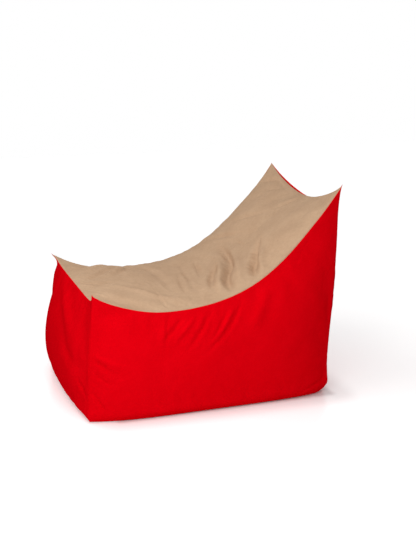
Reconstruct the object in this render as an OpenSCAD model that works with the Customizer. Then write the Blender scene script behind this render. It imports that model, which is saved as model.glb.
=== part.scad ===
// Lounge bean bag chair: a cover of sewn panels with four pulled-up corners (horns),
// closed by a zip across the lower back, round a liner full of beads.
// Millimetres. +Z is up, the front faces -Y, and right is +X, as seen from the front.
// The origin is the middle of the base, on the floor.

/* [Base] */
// Width of the base, corner to corner
base_w = 680; // [560:10:800]
// Depth of the base, corner to corner
base_d = 950; // [820:10:1100]
// How far the long edges of the base bow outward
base_side_bow = 34; // [10:1:50]
// How far the front edge of the base bows outward
base_front_bow = 12; // [0:1:25]
// How far the back edge of the base bows outward
base_back_bow = 22; // [10:1:40]

/* [Horns] */
// Height of the front horns
front_h = 474; // [420:2:540]
// Height of the back horns
back_h = 805; // [720:5:900]
// How far the front horns stand in from the sides of the base
front_in = 6; // [-10:1:30]
// How far the back horns stand in from the sides of the base
back_in = 20; // [0:1:50]
// How far the front horns stand in from the front edge of the base
front_lean = 26; // [5:1:50]
// How far the back horns stand out from the back edge of the base
back_lean = 35; // [10:1:60]
// How far a horn turns outward sideways at its tip
horn_flare = 10; // [4:1:20]
// How far the front horns turn forward at their tips
front_tip_out = 12; // [4:1:20]
// How far the back horns turn backward at their tips
back_tip_out = 11; // [4:1:20]

/* [Seams] */
// Height of the side seams where the seat is lowest
seat_h = 381; // [340:1:410]
// Distance from the front edge of the base to that place
seat_low_at = 309; // [260:1:360]
// Slope at which the side seams leave the front horns, degrees
front_slope = 41; // [30:1:50]
// Slope at which the side seams reach the back horns, degrees
back_slope = 53.5; // [45:0.5:60]
// Length over which the side seams keep their slope at the front horns
front_pull = 89; // [60:1:110]
// Length over which they keep it at the back horns
back_pull = 321; // [260:1:360]
// Length over which they stay level in front of the lowest place
level_front = 82; // [50:1:110]
// Length over which they stay level behind it
level_back = 358; // [300:1:400]
// Dip of the seam between the front horns
front_dip = 36; // [15:1:50]
// How far that seam stands behind the front horns
front_seam_in = 12; // [4:1:20]
// Dip of the seam between the back horns
back_dip = 93; // [50:1:110]
// How far that seam bows out behind the back horns
back_seam_out = 8; // [0:1:20]

/* [Fullness] */
// How far the filling pushes the seat panel out
seat_puff = 92; // [60:1:110]
// How far it pushes the side panels out
side_puff = 45; // [20:1:60]
// How far it pushes the front panel out
front_puff = 58; // [20:1:70]
// How far it pushes the upper back panel out
back_puff = 45; // [20:1:60]
// How far it pushes the lower back panel out
lower_puff = 5; // [0:0.5:8]

/* [Cloth] */
// Thickness of the cover's cloth
cover_t = 0.8; // [0.5:0.1:1.2]
// Thickness of the liner's cloth
liner_t = 0.5; // [0.3:0.1:0.8]
// Distance from the cover's outer face to the liner at the walls
liner_depth = 6; // [5.5:0.5:10]
// Diameter of the seam thread
thread_d = 0.9; // [0.5:0.1:1.2]
// How far a cross seam's thread ends from the side seam
thread_end = 6; // [5:0.5:10]

/* [Zip] */
// Height of the zip above the floor
zip_z = 135; // [110:1:170]
// How far the zip bows outward between the side seams
zip_bow = 36; // [24:1:50]
// How far the zip draws the side seams in
zip_in = 8; // [0:1:14]
// Width of the opening between the two hems
hem_gap = 13; // [12:0.5:16]
// Height of each hem
hem_h = 10; // [8:0.5:14]
// Distance of the hem's stitching from its edge
stitch_in = 3; // [2:0.5:5]
// Diameter of the hem's stitching thread
stitch_d = 0.5; // [0.3:0.05:0.6]
// Width of each tape
tape_w = 14; // [12:0.5:18]
// Thickness of each tape
tape_t = 0.6; // [0.4:0.1:0.8]
// Distance from each end of the tapes to the side seam
tape_end = 10; // [6:1:20]
// Distance from each end of the coils to the side seam
chain_end = 78; // [60:1:120]
// Diameter of each coil
coil_d = 2.5; // [2:0.1:3]
// Gap between the two coils, which the slider's neck runs in
chain_gap = 0.9; // [0.8:0.05:1.2]
// Length of each end stop
stop_l = 3; // [2:0.5:5]

/* [Slider] */
// Length of the slider
slider_l = 13; // [10:0.5:16]
// Width of the slider's plates
slider_w = 10; // [9.4:0.2:11]
// Thickness of the slider's plates and rims
plate_t = 1; // [0.8:0.1:1.2]
// Thickness of the slider's neck
neck_t = 0.5; // [0.4:0.05:0.6]
// Length of the slider's neck
neck_l = 4; // [3:0.5:6]
// Gap between the parked slider and the top stops
park_gap = 0.5; // [0.3:0.1:1]
// Diameter of the bar that the pull tab swings on
bar_d = 1.7; // [1.4:0.1:2]
// Distance between the two posts that hold the bar
bail_gap = 5.4; // [5:0.2:6.4]
// Thickness of those posts
post_t = 1.1; // [0.9:0.1:1.4]

/* [Pull tab] */
// Length of the pull tab, from its hinge
tab_l = 29; // [24:1:32]
// Width of the pull tab
tab_w = 8; // [6:0.5:9]
// Thickness of the pull tab
tab_t = 1.3; // [1:0.1:1.6]
// Diameter of the tab's eye, outside
eye_d = 4; // [3.6:0.1:4.4]

/* [Liner closure] */
// Height of the closure above the zip
closure_up = 105; // [90:5:135]
// Distance from each end of the closure strips to the side seam
closure_in = 84; // [60:2:104]
// Height of the closure strips
closure_h = 25; // [16:1:30]
// Thickness of each closure strip
closure_t = 0.8; // [0.5:0.1:1.2]
// How far the flaps reach past the strips
flap_past = 6; // [4:1:10]

/* [Clearances] */
// Gap between one layer of cloth and the next
layer_gap = 0.3; // [0.2:0.05:0.5]
// Gap between two panels at their seam
seam_gap = 0.3; // [0.2:0.05:0.5]
// Gap round the slider's parts on the chain
run_gap = 0.2; // [0.15:0.05:0.25]
// Gap between the two halves of the closure, and between a sewn strip and its cloth
sewn_gap = 0.1; // [0.05:0.05:0.2]
// Gap between the bar and the tab's eye
pivot_gap = 0.1; // [0.05:0.01:0.15]

/* [Hidden] */
$fn = 48;

// The faces of the bag, as numbers
SIDE = 0;
FRONT = 1;
BACK = 2;
SEAT = 3;
FLOOR = 4;

// Corners on the right-hand side
front_tip = [base_w / 2 - front_in, -base_d / 2 + front_lean, front_h];
back_tip = [base_w / 2 - back_in, base_d / 2 + back_lean, back_h];
front_foot = [base_w / 2, -base_d / 2, 0];
back_foot = [base_w / 2, base_d / 2, 0];
seat_low = [lerp(front_tip.x, back_tip.x, 0.3), -base_d / 2 + seat_low_at, seat_h];

// How finely the panels are divided across, and front to back. The columns across
// include the ends of the liner's closure.
closure_end = closure_in / base_w;
across = concat([0, closure_end], [for (i = [2:8]) i / 10], [1 - closure_end, 1]);
deep = [for (i = [0:20]) i / 20];
widest = max(closure_end, 0.2 - closure_end, 0.1) * base_w;

// The zip lies on an arc about an upright axis, and the hems' facets lie a little inside it
zip_y = base_d / 2 - zip_in;
zip_r = (pow(base_w / 2, 2) + pow(zip_bow, 2)) / (2 * zip_bow);
zip_cy = zip_y + zip_bow - zip_r;
facet_sag = zip_r - sqrt(pow(zip_r, 2) - pow(widest / 2, 2));
hem_low = zip_z - hem_gap / 2;
hem_high = zip_z + hem_gap / 2;
low_v = (hem_low - hem_h) / back_h;
high_v = (hem_high + hem_h) / back_h;

// Depths of the layers, from the cover's outer face at the walls and from the floor
liner_floor = cover_t + layer_gap;
flap_shift = liner_t + 2 * closure_t + 3 * sewn_gap;
fill_depth = liner_depth + flap_shift + liner_t + layer_gap;
fill_floor = liner_floor + liner_t + layer_gap;
thread_depth = cover_t + layer_gap + thread_d / 2;

// Radii in the zip
tape_out = zip_r - facet_sag - cover_t - layer_gap;
tape_in = tape_out - tape_t;
coil_r = tape_out + sewn_gap + coil_d / 2;
coil_z = (chain_gap + coil_d) / 2;
front_plate = coil_r + coil_d / 2 + run_gap;
back_plate = tape_in - run_gap - plate_t;
rim_z = coil_z + coil_d / 2 + run_gap;
bar_r = front_plate + plate_t + run_gap + eye_d / 2;
chain_turn = along(base_w / 2 - chain_end);
stop_turn = along(stop_l);
slider_turn = along(slider_l / 2);
park = chain_turn - slider_turn - along(park_gap);

// The rows up the walls keep clear of the hems, and include the edges of the closure
// strips and of the liner's flaps past them
closure_v = (zip_z + closure_up) / back_h;
strip_v = closure_h / 2 / back_h;
flap_v = strip_v + flap_past / back_h;
strip_vs = [closure_v - strip_v, closure_v + strip_v];
flap_vs = concat([closure_v - flap_v], strip_vs, [closure_v + flap_v]);
above_closure = [for (i = [1:4]) lerp(closure_v + flap_v, 1, i / 4)];
above_zip = concat([high_v], flap_vs, above_closure);
up = concat([0, low_v / 2, low_v], above_zip);

// ---- Small functions ----

function lerp(a, b, t) = a * (1 - t) + b * t;
function bump(t, power) = 1 - pow(abs(2 * t - 1), power);
function flip(p) = [-p.x, p.y, p.z];
function unit(v) = v / norm(v);
function clamp(t, low, high) = min(max(t, low), high);
function reverse(list) = [for (i = [len(list) - 1:-1:0]) list[i]];
function bezier(a, b, c, d, t) =
    a * pow(1 - t, 3) + b * 3 * t * pow(1 - t, 2) + c * 3 * t * t * (1 - t) + d * pow(t, 3);

// Degrees round the zip's arc for a length along it
function along(length) = length / zip_r * 180 / PI;

// ---- Edges of the panels, right-hand side, each from 0 to 1 ----

// Drawn in along a horn's edge, so that it turns outward only near its tip
function drawn_in(t) = pow(t, 2) - pow(t, 12);
function ease(t) = t * t * (3 - 2 * t);

function front_edge(v) = v >= 1 ? front_tip : [
    lerp(front_foot.x, front_tip.x, v) - horn_flare * drawn_in(v),
    lerp(front_foot.y, front_tip.y, v * v) + front_tip_out * drawn_in(v),
    front_h * v
];

// The back edge draws in to the zip, stands upright past it, then leans back and turns
// out at its tip
function back_edge(v) =
    let (
        foot = clamp(v / low_v, 0, 1),
        t = clamp((v - high_v) / (1 - high_v), 0, 1),
        lean = back_lean + zip_in - back_tip_out
    )
    v <= 0 ? back_foot
    : v >= 1 ? back_tip
    : [
        lerp(back_foot.x, back_tip.x, t) - horn_flare * drawn_in(t),
        lerp(back_foot.y, zip_y, pow(foot, 3)) + lean * ease(min(t / 0.75, 1))
            + back_tip_out * pow(t, 16),
        back_h * v
    ];

function base_side(s) = [
    base_w / 2 + base_side_bow * bump(s, 4),
    lerp(front_foot.y, back_foot.y, s),
    0
];

function base_front(t) = [
    lerp(-base_w / 2, base_w / 2, t),
    front_foot.y - base_front_bow * bump(t, 2),
    0
];

function base_back(t) = [
    lerp(-base_w / 2, base_w / 2, t),
    back_foot.y + base_back_bow * bump(t, 2),
    0
];

function front_seam(t) = [
    lerp(-front_tip.x, front_tip.x, t),
    front_tip.y + front_seam_in * bump(t, 6),
    front_h - front_dip * bump(t, 5)
];

function back_seam(t) = [
    lerp(-back_tip.x, back_tip.x, t),
    back_tip.y + back_seam_out * bump(t, 2),
    back_h - back_dip * bump(t, 2)
];

function zip_line(t, z) =
    let (x = lerp(-base_w / 2, base_w / 2, t))
    [x, zip_cy + sqrt(zip_r * zip_r - x * x), z];

// The side seam is two curves that meet, level, where the seat is lowest.
// Each takes a share of the parameter that is like its share of the length.
split = 0.28;

function side_seam(s) = s <= split
    ? bezier(front_tip,
             front_tip + front_pull * [0, cos(front_slope), -sin(front_slope)],
             seat_low - [0, level_front, 0],
             seat_low,
             s / split) - [horn_flare / 2 * bump(s, 6), 0, 0]
    : bezier(seat_low,
             seat_low + [0, level_back, 0],
             back_tip - back_pull * [0, cos(back_slope), sin(back_slope)],
             back_tip,
             (s - split) / (1 - split)) - [horn_flare / 2 * bump(s, 6), 0, 0];

// ---- The faces, each filled in between its four edges and puffed out ----

function patch(bottom, top, left, right, feet, tips, u, v) =
    lerp(bottom, top, v) + lerp(left, right, u)
    - lerp(lerp(feet[0], feet[1], u), lerp(tips[0], tips[1], u), v);

function side_at(s, v) =
    s <= 0 ? front_edge(v)
    : s >= 1 ? back_edge(v)
    : v <= 0 ? base_side(s)
    : v >= 1 ? side_seam(s)
    : patch(base_side(s), side_seam(s), front_edge(v), back_edge(v),
            [front_foot, back_foot], [front_tip, back_tip], s, v)
      + [side_puff * bump(s, 4) * bump(v, 2), 0, 0];

function front_at(t, v) =
    t >= 1 ? front_edge(v)
    : v <= 0 ? base_front(t)
    : v >= 1 ? front_seam(t)
    : patch(base_front(t), front_seam(t), flip(front_edge(v)), front_edge(v),
            [flip(front_foot), front_foot], [flip(front_tip), front_tip], t, v)
      - [0, front_puff * bump(t, 3) * bump(pow(v, 0.92), 2), 0];

function back_low_at(t, w) =
    patch(base_back(t), zip_line(t, low_v * back_h),
          flip(back_edge(w * low_v)), back_edge(w * low_v),
          [flip(back_foot), back_foot], [flip(back_edge(low_v)), back_edge(low_v)], t, w)
    + [0, lower_puff * bump(t, 2) * bump(w, 2), 0];

function back_high_at(t, w) =
    let (v = lerp(high_v, 1, w))
    patch(zip_line(t, high_v * back_h), back_seam(t), flip(back_edge(v)), back_edge(v),
          [flip(back_edge(high_v)), back_edge(high_v)], [flip(back_tip), back_tip], t, w)
    + [0, back_puff * bump(t, 2) * bump(w, 2), 0];

function back_at(t, v) =
    t >= 1 ? back_edge(v)
    : v <= 0 ? base_back(t)
    : v >= 1 ? back_seam(t)
    : v < low_v ? back_low_at(t, v / low_v)
    : v > high_v ? back_high_at(t, (v - high_v) / (1 - high_v))
    : zip_line(t, v * back_h);

function seat_at(t, s) =
    let (run = side_seam(min(s + 0.01, 1)) - side_seam(max(s - 0.01, 0)))
    t >= 1 ? side_seam(s)
    : s <= 0 ? front_seam(t)
    : s >= 1 ? back_seam(t)
    : patch(front_seam(t), back_seam(t), flip(side_seam(s)), side_seam(s),
            [flip(front_tip), front_tip], [flip(back_tip), back_tip], t, s)
      + seat_puff * bump(t, 5) * bump(s, 4) * unit([0, -run.z, run.y]);

// A point of a face. The left half of a face across the bag mirrors its right half.
function surf(face, u, v) =
    face == SIDE ? side_at(u, v)
    : u < 0.5 ? flip(surf(face, 1 - u, v))
    : face == FRONT ? front_at(u, v)
    : face == BACK ? back_at(u, v)
    : seat_at(u, v);

// The unit normal into the bag
function inward(face, u, v) =
    let (
        h = 0.002,
        du = surf(face, min(u + h, 1), v) - surf(face, max(u - h, 0), v),
        dv = surf(face, u, min(v + h, 1)) - surf(face, u, max(v - h, 0)),
        turn = face == BACK ? 1 : -1
    )
    face == FLOOR ? [0, 0, 1] : turn * unit(cross(du, dv));

// The faces that meet at a point of a face, each as [face, u, v], in one order
function beside(face, u, v) =
    face == SIDE ? concat(
        u <= 0 ? [[FRONT, 1, v]] : [],
        u >= 1 ? [[BACK, 1, v]] : [],
        v <= 0 ? [[FLOOR, 0, 0]] : [],
        v >= 1 ? [[SEAT, 1, u]] : [])
    : face == SEAT ? concat(
        u >= 1 ? [[SIDE, v, 1]] : [],
        v <= 0 ? [[FRONT, u, 1]] : [],
        v >= 1 ? [[BACK, u, 1]] : [])
    : concat(
        u >= 1 ? [[SIDE, face == FRONT ? 0 : 1, v]] : [],
        v <= 0 ? [[FLOOR, 0, 0]] : [],
        v >= 1 ? [[SEAT, u, face == FRONT ? 0 : 1]] : []);

function meeting(face, u, v) =
    let (found = concat([[face, u, v]], beside(face, u, v)))
    [for (k = [SIDE:FLOOR]) for (f = found) if (f[0] == k) f];

// The step that lies the given depths behind one, two or three faces
function step_in(n, d) =
    let (c = len(n) > 1 ? n[0] * n[1] : 0)
    len(n) == 1 ? d[0] * n[0]
    : len(n) == 2 ? ((d[0] - c * d[1]) * n[0] + (d[1] - c * d[0]) * n[1]) / (1 - c * c)
    : (d[0] * cross(n[1], n[2]) + d[1] * cross(n[2], n[0]) + d[2] * cross(n[0], n[1]))
      / (n[0] * cross(n[1], n[2]));

// A point of a face taken inward, by depth from the walls and seat and by rise from the floor.
// Edges that meet other faces are cut back by half the seam gap where trim is 1.
function layer(face, u, v, depth, rise, trim = 0) =
    face != SIDE && u < 0.5 ? flip(layer(face, 1 - u, v, depth, rise, trim))
    : let (
        cut_u = trim * seam_gap / 2 / (face == SIDE ? base_d : 2 * back_tip.x),
        cut_v = trim * seam_gap / 2 / (face == SEAT ? base_d : front_h),
        faces = meeting(face, u, v)
    )
    surf(face, clamp(u, cut_u, 1 - cut_u), clamp(v, face == SEAT ? cut_v : 0, 1 - cut_v))
    + step_in([for (f = faces) inward(f[0], f[1], f[2])],
              [for (f = faces) f[0] == FLOOR ? rise : depth]);

// A point of a layer on the floor, between the walls' bottom edges
function floor_layer(t, s, depth, rise, trim = 0) =
    let (
        cut = trim * seam_gap / 2 / base_w,
        a = clamp(t, cut, 1 - cut),
        feet = [layer(FRONT, 0, 0, depth, rise), layer(FRONT, 1, 0, depth, rise)],
        heels = [layer(BACK, 0, 0, depth, rise), layer(BACK, 1, 0, depth, rise)],
        right = layer(SIDE, s, 0, depth, rise)
    )
    s <= 0 ? layer(FRONT, t, 0, depth, rise, trim)
    : s >= 1 ? layer(BACK, t, 0, depth, rise, trim)
    : a <= 0 ? flip(right)
    : a >= 1 ? right
    : patch(layer(FRONT, t, 0, depth, rise), layer(BACK, t, 0, depth, rise), flip(right), right,
            feet, heels, a, s);

// ---- Building shapes from grids of points ----

// Triangles of a grid of points, numbered row by row from a first point. The grid's
// normal by rows and columns points out of the bag, or into it where turn is true.
// Every cell is split along the diagonal that lies further out, so that the layers'
// facets are parallel.
function grid_faces(points, first, turn) = [
    for (i = [0:len(points) - 2], j = [0:len(points[0]) - 2])
        let (
            cols = len(points[0]),
            a = first + i * cols + j,
            b = a + 1,
            c = a + cols + 1,
            d = a + cols,
            run = points[i + 1][j + 1] - points[i][j],
            fall = points[i + 1][j] - points[i][j + 1],
            lift = (points[i][j] + points[i + 1][j + 1] - points[i][j + 1] - points[i + 1][j])
                   * cross(run, fall),
            halves = (lift > 0) != turn ? [[a, b, c], [a, c, d]] : [[a, b, d], [b, c, d]]
        )
        each [for (f = halves) turn ? f : reverse(f)]
];

// The points round the border of a grid
function border(rows, cols) = concat(
    [for (j = [0:cols - 2]) j],
    [for (i = [0:rows - 2]) i * cols + cols - 1],
    [for (j = [cols - 1:-1:1]) (rows - 1) * cols + j],
    [for (i = [rows - 1:-1:1]) i * cols]
);

// A sheet of cloth between two grids. The outer one's normal by rows and columns
// points out of the bag, or into it where turn is true.
module sheet(outer, inner, turn = false) {
    rows = len(outer);
    cols = len(outer[0]);
    n = rows * cols;
    rim = border(rows, cols);
    last = len(rim) - 1;
    skin = grid_faces(outer, 0, turn);
    polyhedron(
        points = concat([for (row = outer) each row], [for (row = inner) each row]),
        faces = concat(
            skin,
            [for (f = skin) [for (k = reverse(f)) n + k]],
            [for (k = [0:last])
                let (
                    a = rim[k],
                    b = rim[k < last ? k + 1 : 0]
                )
                each turn ? [[a, n + b, b], [a, n + a, n + b]]
                          : [[a, b, n + b], [a, n + b, n + a]]])
    );
}

// A face's grid of layer points, by rows of v
function grid(face, us, vs, depth, rise, trim = 1) =
    [for (v = vs) [for (u = us) layer(face, u, v, depth, rise, trim)]];

// A cover panel is one sheet of the cover's cloth
module cover_sheet(face, us, vs) {
    sheet(grid(face, us, vs, 0, 0), grid(face, us, vs, cover_t, cover_t), face == BACK);
}

// A back panel ends in an upright hem beside the zip
module back_sheet(vs, hem_z, hem_first) {
    function with_hem(rows, hem) = hem_first ? concat([hem], rows) : concat(rows, [hem]);
    function hem_row(depth) = [
        for (u = across)
            let (p = layer(BACK, u, hem_z / back_h, depth, depth, 1))
            [p.x, p.y, hem_z]
    ];
    sheet(with_hem(grid(BACK, across, vs, 0, 0), hem_row(0)),
          with_hem(grid(BACK, across, vs, cover_t, cover_t), hem_row(cover_t)), true);
}

// A round thread swept along points, as an open length or a closed loop.
// Each ring's first spoke points along its own side vector.
module thread_along(points, sides, closed = false) {
    n = len(points);
    ring = 6;
    rings = [
        for (i = [0:n - 1])
            let (
                before = points[closed ? (i + n - 1) % n : max(i - 1, 0)],
                after = points[closed ? (i + 1) % n : min(i + 1, n - 1)],
                run = unit(after - before),
                spoke = unit(sides[i] - (sides[i] * run) * run),
                third = cross(run, spoke)
            )
            [for (k = [0:ring - 1])
                points[i] + thread_d / 2 * (cos(k * 360 / ring) * spoke + sin(k * 360 / ring) * third)]
    ];
    spans = closed ? n : n - 1;
    polyhedron(
        points = [for (r = rings) each r],
        faces = concat(
            [for (i = [0:spans - 1], k = [0:ring - 1])
                let (
                    a = i * ring + k,
                    b = i * ring + (k + 1) % ring,
                    c = ((i + 1) % n) * ring + (k + 1) % ring,
                    d = ((i + 1) % n) * ring + k
                )
                each [[a, d, c], [a, c, b]]],
            closed ? [] : [
                [for (k = [0:ring - 1]) k],
                [for (k = [ring - 1:-1:0]) (n - 1) * ring + k]
            ])
    );
}

function thread_point(face, u, v) = layer(face, u, v, thread_depth, thread_depth);
function thread_side(face, u, v) = thread_point(face, u, v) - surf(face, u, v);

// The thread of the seam round a side panel
module side_thread() {
    path = concat(
        [for (v = up) [SIDE, 0, v]],
        [for (i = [1:len(deep) - 1]) [SIDE, deep[i], 1]],
        [for (i = [len(up) - 2:-1:0]) [SIDE, 1, up[i]]],
        [for (i = [len(deep) - 2:-1:1]) [SIDE, deep[i], 0]]);
    thread_along([for (p = path) thread_point(p[0], p[1], p[2])],
                 [for (p = path) thread_side(p[0], p[1], p[2])], true);
}

// The thread of a seam across the bag, along a face's edge
module cross_thread(face, v) {
    end = thread_end / (2 * back_tip.x);
    stations = [for (t = across) clamp(t, end, 1 - end)];
    thread_along([for (t = stations) thread_point(face, t, v)],
                 [for (t = stations) thread_side(face, t, v)]);
}

// ---- Cover ----

module seat_panel() {
    color("#c4a58a")
        cover_sheet(SEAT, across, deep);
}

module right_side_panel() {
    color("#d6010f")
        cover_sheet(SIDE, deep, up);
}

module left_side_panel() {
    color("#d6010f")
        mirror([1, 0, 0])
            cover_sheet(SIDE, deep, up);
}

module front_panel() {
    color("#cd0015")
        cover_sheet(FRONT, across, up);
}

module back_panel_upper() {
    color("#c80113")
        back_sheet(above_zip, hem_high, true);
}

module back_panel_lower() {
    color("#c80113")
        back_sheet([0, low_v / 2, low_v], hem_low, false);
}

// The base fills the outline that the walls' inner faces leave on the floor
module base_panel() {
    depth = cover_t + seam_gap;
    right = [for (s = deep) layer(SIDE, s, 0, depth, 0)];
    outline = concat(
        [for (i = [1:len(across) - 2]) layer(FRONT, across[i], 0, depth, 0)],
        right,
        [for (i = [len(across) - 2:-1:1]) layer(BACK, across[i], 0, depth, 0)],
        [for (p = reverse(right)) flip(p)]);
    color("#b80110")
        linear_extrude(cover_t)
            polygon([for (p = outline) [p.x, p.y]]);
}

// ---- Seam threads ----

module seam_thread_right() {
    color("#a8000d")
        side_thread();
}

module seam_thread_left() {
    color("#a8000d")
        mirror([1, 0, 0])
            side_thread();
}

module seam_thread_seat_front() {
    color("#b08e72")
        cross_thread(SEAT, 0);
}

module seam_thread_seat_back() {
    color("#b08e72")
        cross_thread(SEAT, 1);
}

module seam_thread_base_front() {
    color("#a8000d")
        cross_thread(FRONT, 0);
}

module seam_thread_base_back() {
    color("#a8000d")
        cross_thread(BACK, 0);
}

// ---- Zip: every piece is turned about the arc's upright axis ----

// Sweeps a profile of [radius, height] over an arc. Angles run from the middle of
// the back towards +X.
module zip_arc(from, to) {
    translate([0, zip_cy, zip_z])
        rotate([0, 0, 90 - to])
            rotate_extrude(angle = to - from, $fn = 720)
                children();
}

// A bar of rectangular section in the zip: radii, heights and angles
module zip_bar(r0, r1, z0, z1, from, to) {
    zip_arc(from, to)
        translate([r0, z0])
            square([r1 - r0, z1 - z0]);
}

module tape() {
    half = asin((base_w / 2 - tape_end) / zip_r);
    zip_bar(tape_in, tape_out, chain_gap / 2, chain_gap / 2 + tape_w, -half, half);
}

module coil() {
    zip_arc(-chain_turn, chain_turn)
        translate([coil_r, coil_z])
            circle(d = coil_d, $fn = 24);
}

module hem_stitch() {
    half = asin((base_w / 2 - tape_end) / zip_r);
    zip_arc(-half, half)
        translate([zip_r + sewn_gap + stitch_d / 2, hem_gap / 2 + stitch_in])
            circle(d = stitch_d, $fn = 24);
}

// Turns an upper piece of the zip over to make the lower one
module lower_half() {
    translate([0, 0, 2 * zip_z])
        mirror([0, 0, 1])
            children();
}

module zip_tape_upper() {
    color("#a5000c")
        tape();
}

module zip_tape_lower() {
    color("#a5000c")
        lower_half()
            tape();
}

module zip_coil_upper() {
    color("#b4000e")
        coil();
}

module zip_coil_lower() {
    color("#b4000e")
        lower_half()
            coil();
}

module zip_stitch_upper() {
    color("#b9010f")
        hem_stitch();
}

module zip_stitch_lower() {
    color("#b9010f")
        lower_half()
            hem_stitch();
}

// One clip on the end of each coil, where the closed zip's slider stops
module top_stop() {
    from = chain_turn + along(sewn_gap);
    zip_bar(tape_out + sewn_gap, coil_r + coil_d / 2, coil_z - coil_d / 2, coil_z + coil_d / 2,
            from, from + stop_turn);
}

module zip_top_stops() {
    color("silver") {
        top_stop();
        lower_half()
            top_stop();
    }
}

// One clip across both coils, where the open zip's slider stops
module zip_bottom_stop() {
    to = -chain_turn - along(sewn_gap);
    reach = coil_z + coil_d / 2;
    color("silver")
        zip_bar(tape_out + sewn_gap, coil_r + coil_d / 2, -reach, reach, to - stop_turn, to);
}

// The slider is two plates joined by a neck between the coils, with rims round the coils
// and a bar held by two posts for the pull tab
module slider_rim() {
    zip_bar(tape_out + run_gap, front_plate + plate_t, rim_z, slider_w / 2,
            park - slider_turn, park + slider_turn);
}

module zip_slider() {
    from = park - slider_turn;
    to = park + slider_turn;
    neck_turn = along(neck_l / 2);
    color("silver") {
        zip_bar(front_plate, front_plate + plate_t, -slider_w / 2, slider_w / 2, from, to);
        zip_bar(back_plate, back_plate + plate_t, -slider_w / 2, slider_w / 2, from, to);
        zip_bar(back_plate, front_plate + plate_t, -neck_t / 2, neck_t / 2,
                park - neck_turn, park + neck_turn);
        slider_rim();
        lower_half()
            slider_rim();
        at_bar() {
            rotate([0, 90, 0])
                cylinder(d = bar_d, h = bail_gap + 2 * post_t, center = true);
            for (side = [-1, 1])
                translate([side * (bail_gap + post_t) / 2, 0, 0])
                    bail_post();
        }
    }
}

// Moves to the middle of the slider's bar, with +X along the bar and +Y out of the bag
module at_bar() {
    translate([0, zip_cy, zip_z])
        rotate([0, 0, -park])
            translate([0, bar_r, 0])
                children();
}

// A post from the slider's plate to the bar's end, rounded over the bar
module bail_post() {
    reach = bar_r - front_plate - plate_t / 2;
    rotate([0, 90, 0])
        cylinder(d = bar_d + 2 * plate_t, h = post_t, center = true);
    translate([0, -reach / 2, 0])
        cube([post_t, reach, bar_d + 2 * plate_t], center = true);
}

// The tab hangs from the bar by an eye between the posts
module zip_pull_tab() {
    neck_w = bail_gap - 2 * run_gap;
    shoulder = eye_d / 2 + bar_d / 2 + plate_t;
    color("silver")
        at_bar()
            difference() {
                union() {
                    rotate([0, 90, 0])
                        cylinder(d = eye_d, h = neck_w, center = true);
                    translate([-neck_w / 2, -tab_t / 2, -shoulder])
                        cube([neck_w, tab_t, shoulder]);
                    tab_blade(shoulder);
                }
                rotate([0, 90, 0])
                    cylinder(r = bar_d / 2 + pivot_gap, h = neck_w + 1, center = true);
            }
}

// The flat blade of the tab, with a round end and a round hole
module tab_blade(top) {
    r = tab_w / 2;
    rotate([90, 0, 0])
        linear_extrude(tab_t, center = true)
            difference() {
                union() {
                    translate([-r, r - tab_l])
                        square([tab_w, tab_l - r - top]);
                    translate([0, r - tab_l])
                        circle(r = r);
                }
                translate([0, r - tab_l])
                    circle(r = r / 2);
            }
}

// ---- Liner and filling ----

module liner_side() {
    sheet(grid(SIDE, deep, up, liner_depth, liner_floor),
          grid(SIDE, deep, up, liner_depth + liner_t, liner_floor + liner_t));
}

module liner_right_side() {
    color("whitesmoke")
        liner_side();
}

module liner_left_side() {
    color("whitesmoke")
        mirror([1, 0, 0])
            liner_side();
}

// The rest of the liner is one strip: down the seat, the front and the floor, and up the
// back, where its two ends overlap behind the closure. A row is [face, v, extra depth].
function wrap_row(row, depth, rise) = [
    for (t = across)
        row[0] == FLOOR
            ? floor_layer(t, row[1], depth, rise, 1)
            : layer(row[0], t, row[1], depth + row[2], rise, 1)
];

module liner_wrap() {
    rows = concat(
        [for (v = flap_vs) [BACK, v, 0]],
        [for (v = above_closure) [BACK, v, 0]],
        [for (i = [len(deep) - 2:-1:0]) [SEAT, deep[i], 0]],
        [for (i = [len(up) - 2:-1:0]) [FRONT, up[i], 0]],
        [for (i = [1:len(deep) - 1]) [FLOOR, deep[i], 0]],
        [for (v = [low_v / 2, low_v, high_v]) [BACK, v, 0]],
        [for (v = flap_vs) [BACK, v, flap_shift]]);
    color("whitesmoke")
        sheet([for (row = rows) wrap_row(row, liner_depth, liner_floor)],
              [for (row = rows) wrap_row(row, liner_depth + liner_t, liner_floor + liner_t)],
              true);
}

// A closure strip lies on the back's curve at a depth from the cover's outer face
module closure_strip(depth) {
    us = [for (i = [1:len(across) - 2]) across[i]];
    sheet(grid(BACK, us, strip_vs, depth, 0),
          grid(BACK, us, strip_vs, depth + closure_t, 0), true);
}

module liner_closure_hook() {
    color("gainsboro")
        closure_strip(liner_depth + liner_t + sewn_gap);
}

module liner_closure_loop() {
    color("white")
        closure_strip(liner_depth + liner_t + 2 * sewn_gap + closure_t);
}

// The beads fill the liner
module bead_fill() {
    nu = len(across);
    nd = len(deep);
    nv = len(up);
    side = grid(SIDE, deep, up, fill_depth, fill_floor, 0);
    grids = [
        [side, false],
        [[for (row = side) [for (p = row) flip(p)]], true],
        [grid(FRONT, across, up, fill_depth, fill_floor, 0), false],
        [grid(BACK, across, up, fill_depth, fill_floor, 0), true],
        [grid(SEAT, across, deep, fill_depth, fill_floor, 0), false],
        [[for (s = deep) [for (t = across) floor_layer(t, s, fill_depth, fill_floor)]], true]
    ];
    firsts = [0, nd * nv, 2 * nd * nv, 2 * nd * nv + nu * nv, 2 * (nd + nu) * nv,
              2 * (nd + nu) * nv + nu * nd];
    color("white")
        polyhedron(
            points = [for (g = grids) for (row = g[0]) each row],
            faces = [
                for (k = [0:len(grids) - 1])
                    each grid_faces(grids[k][0], firsts[k], grids[k][1])
            ]);
}

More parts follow.
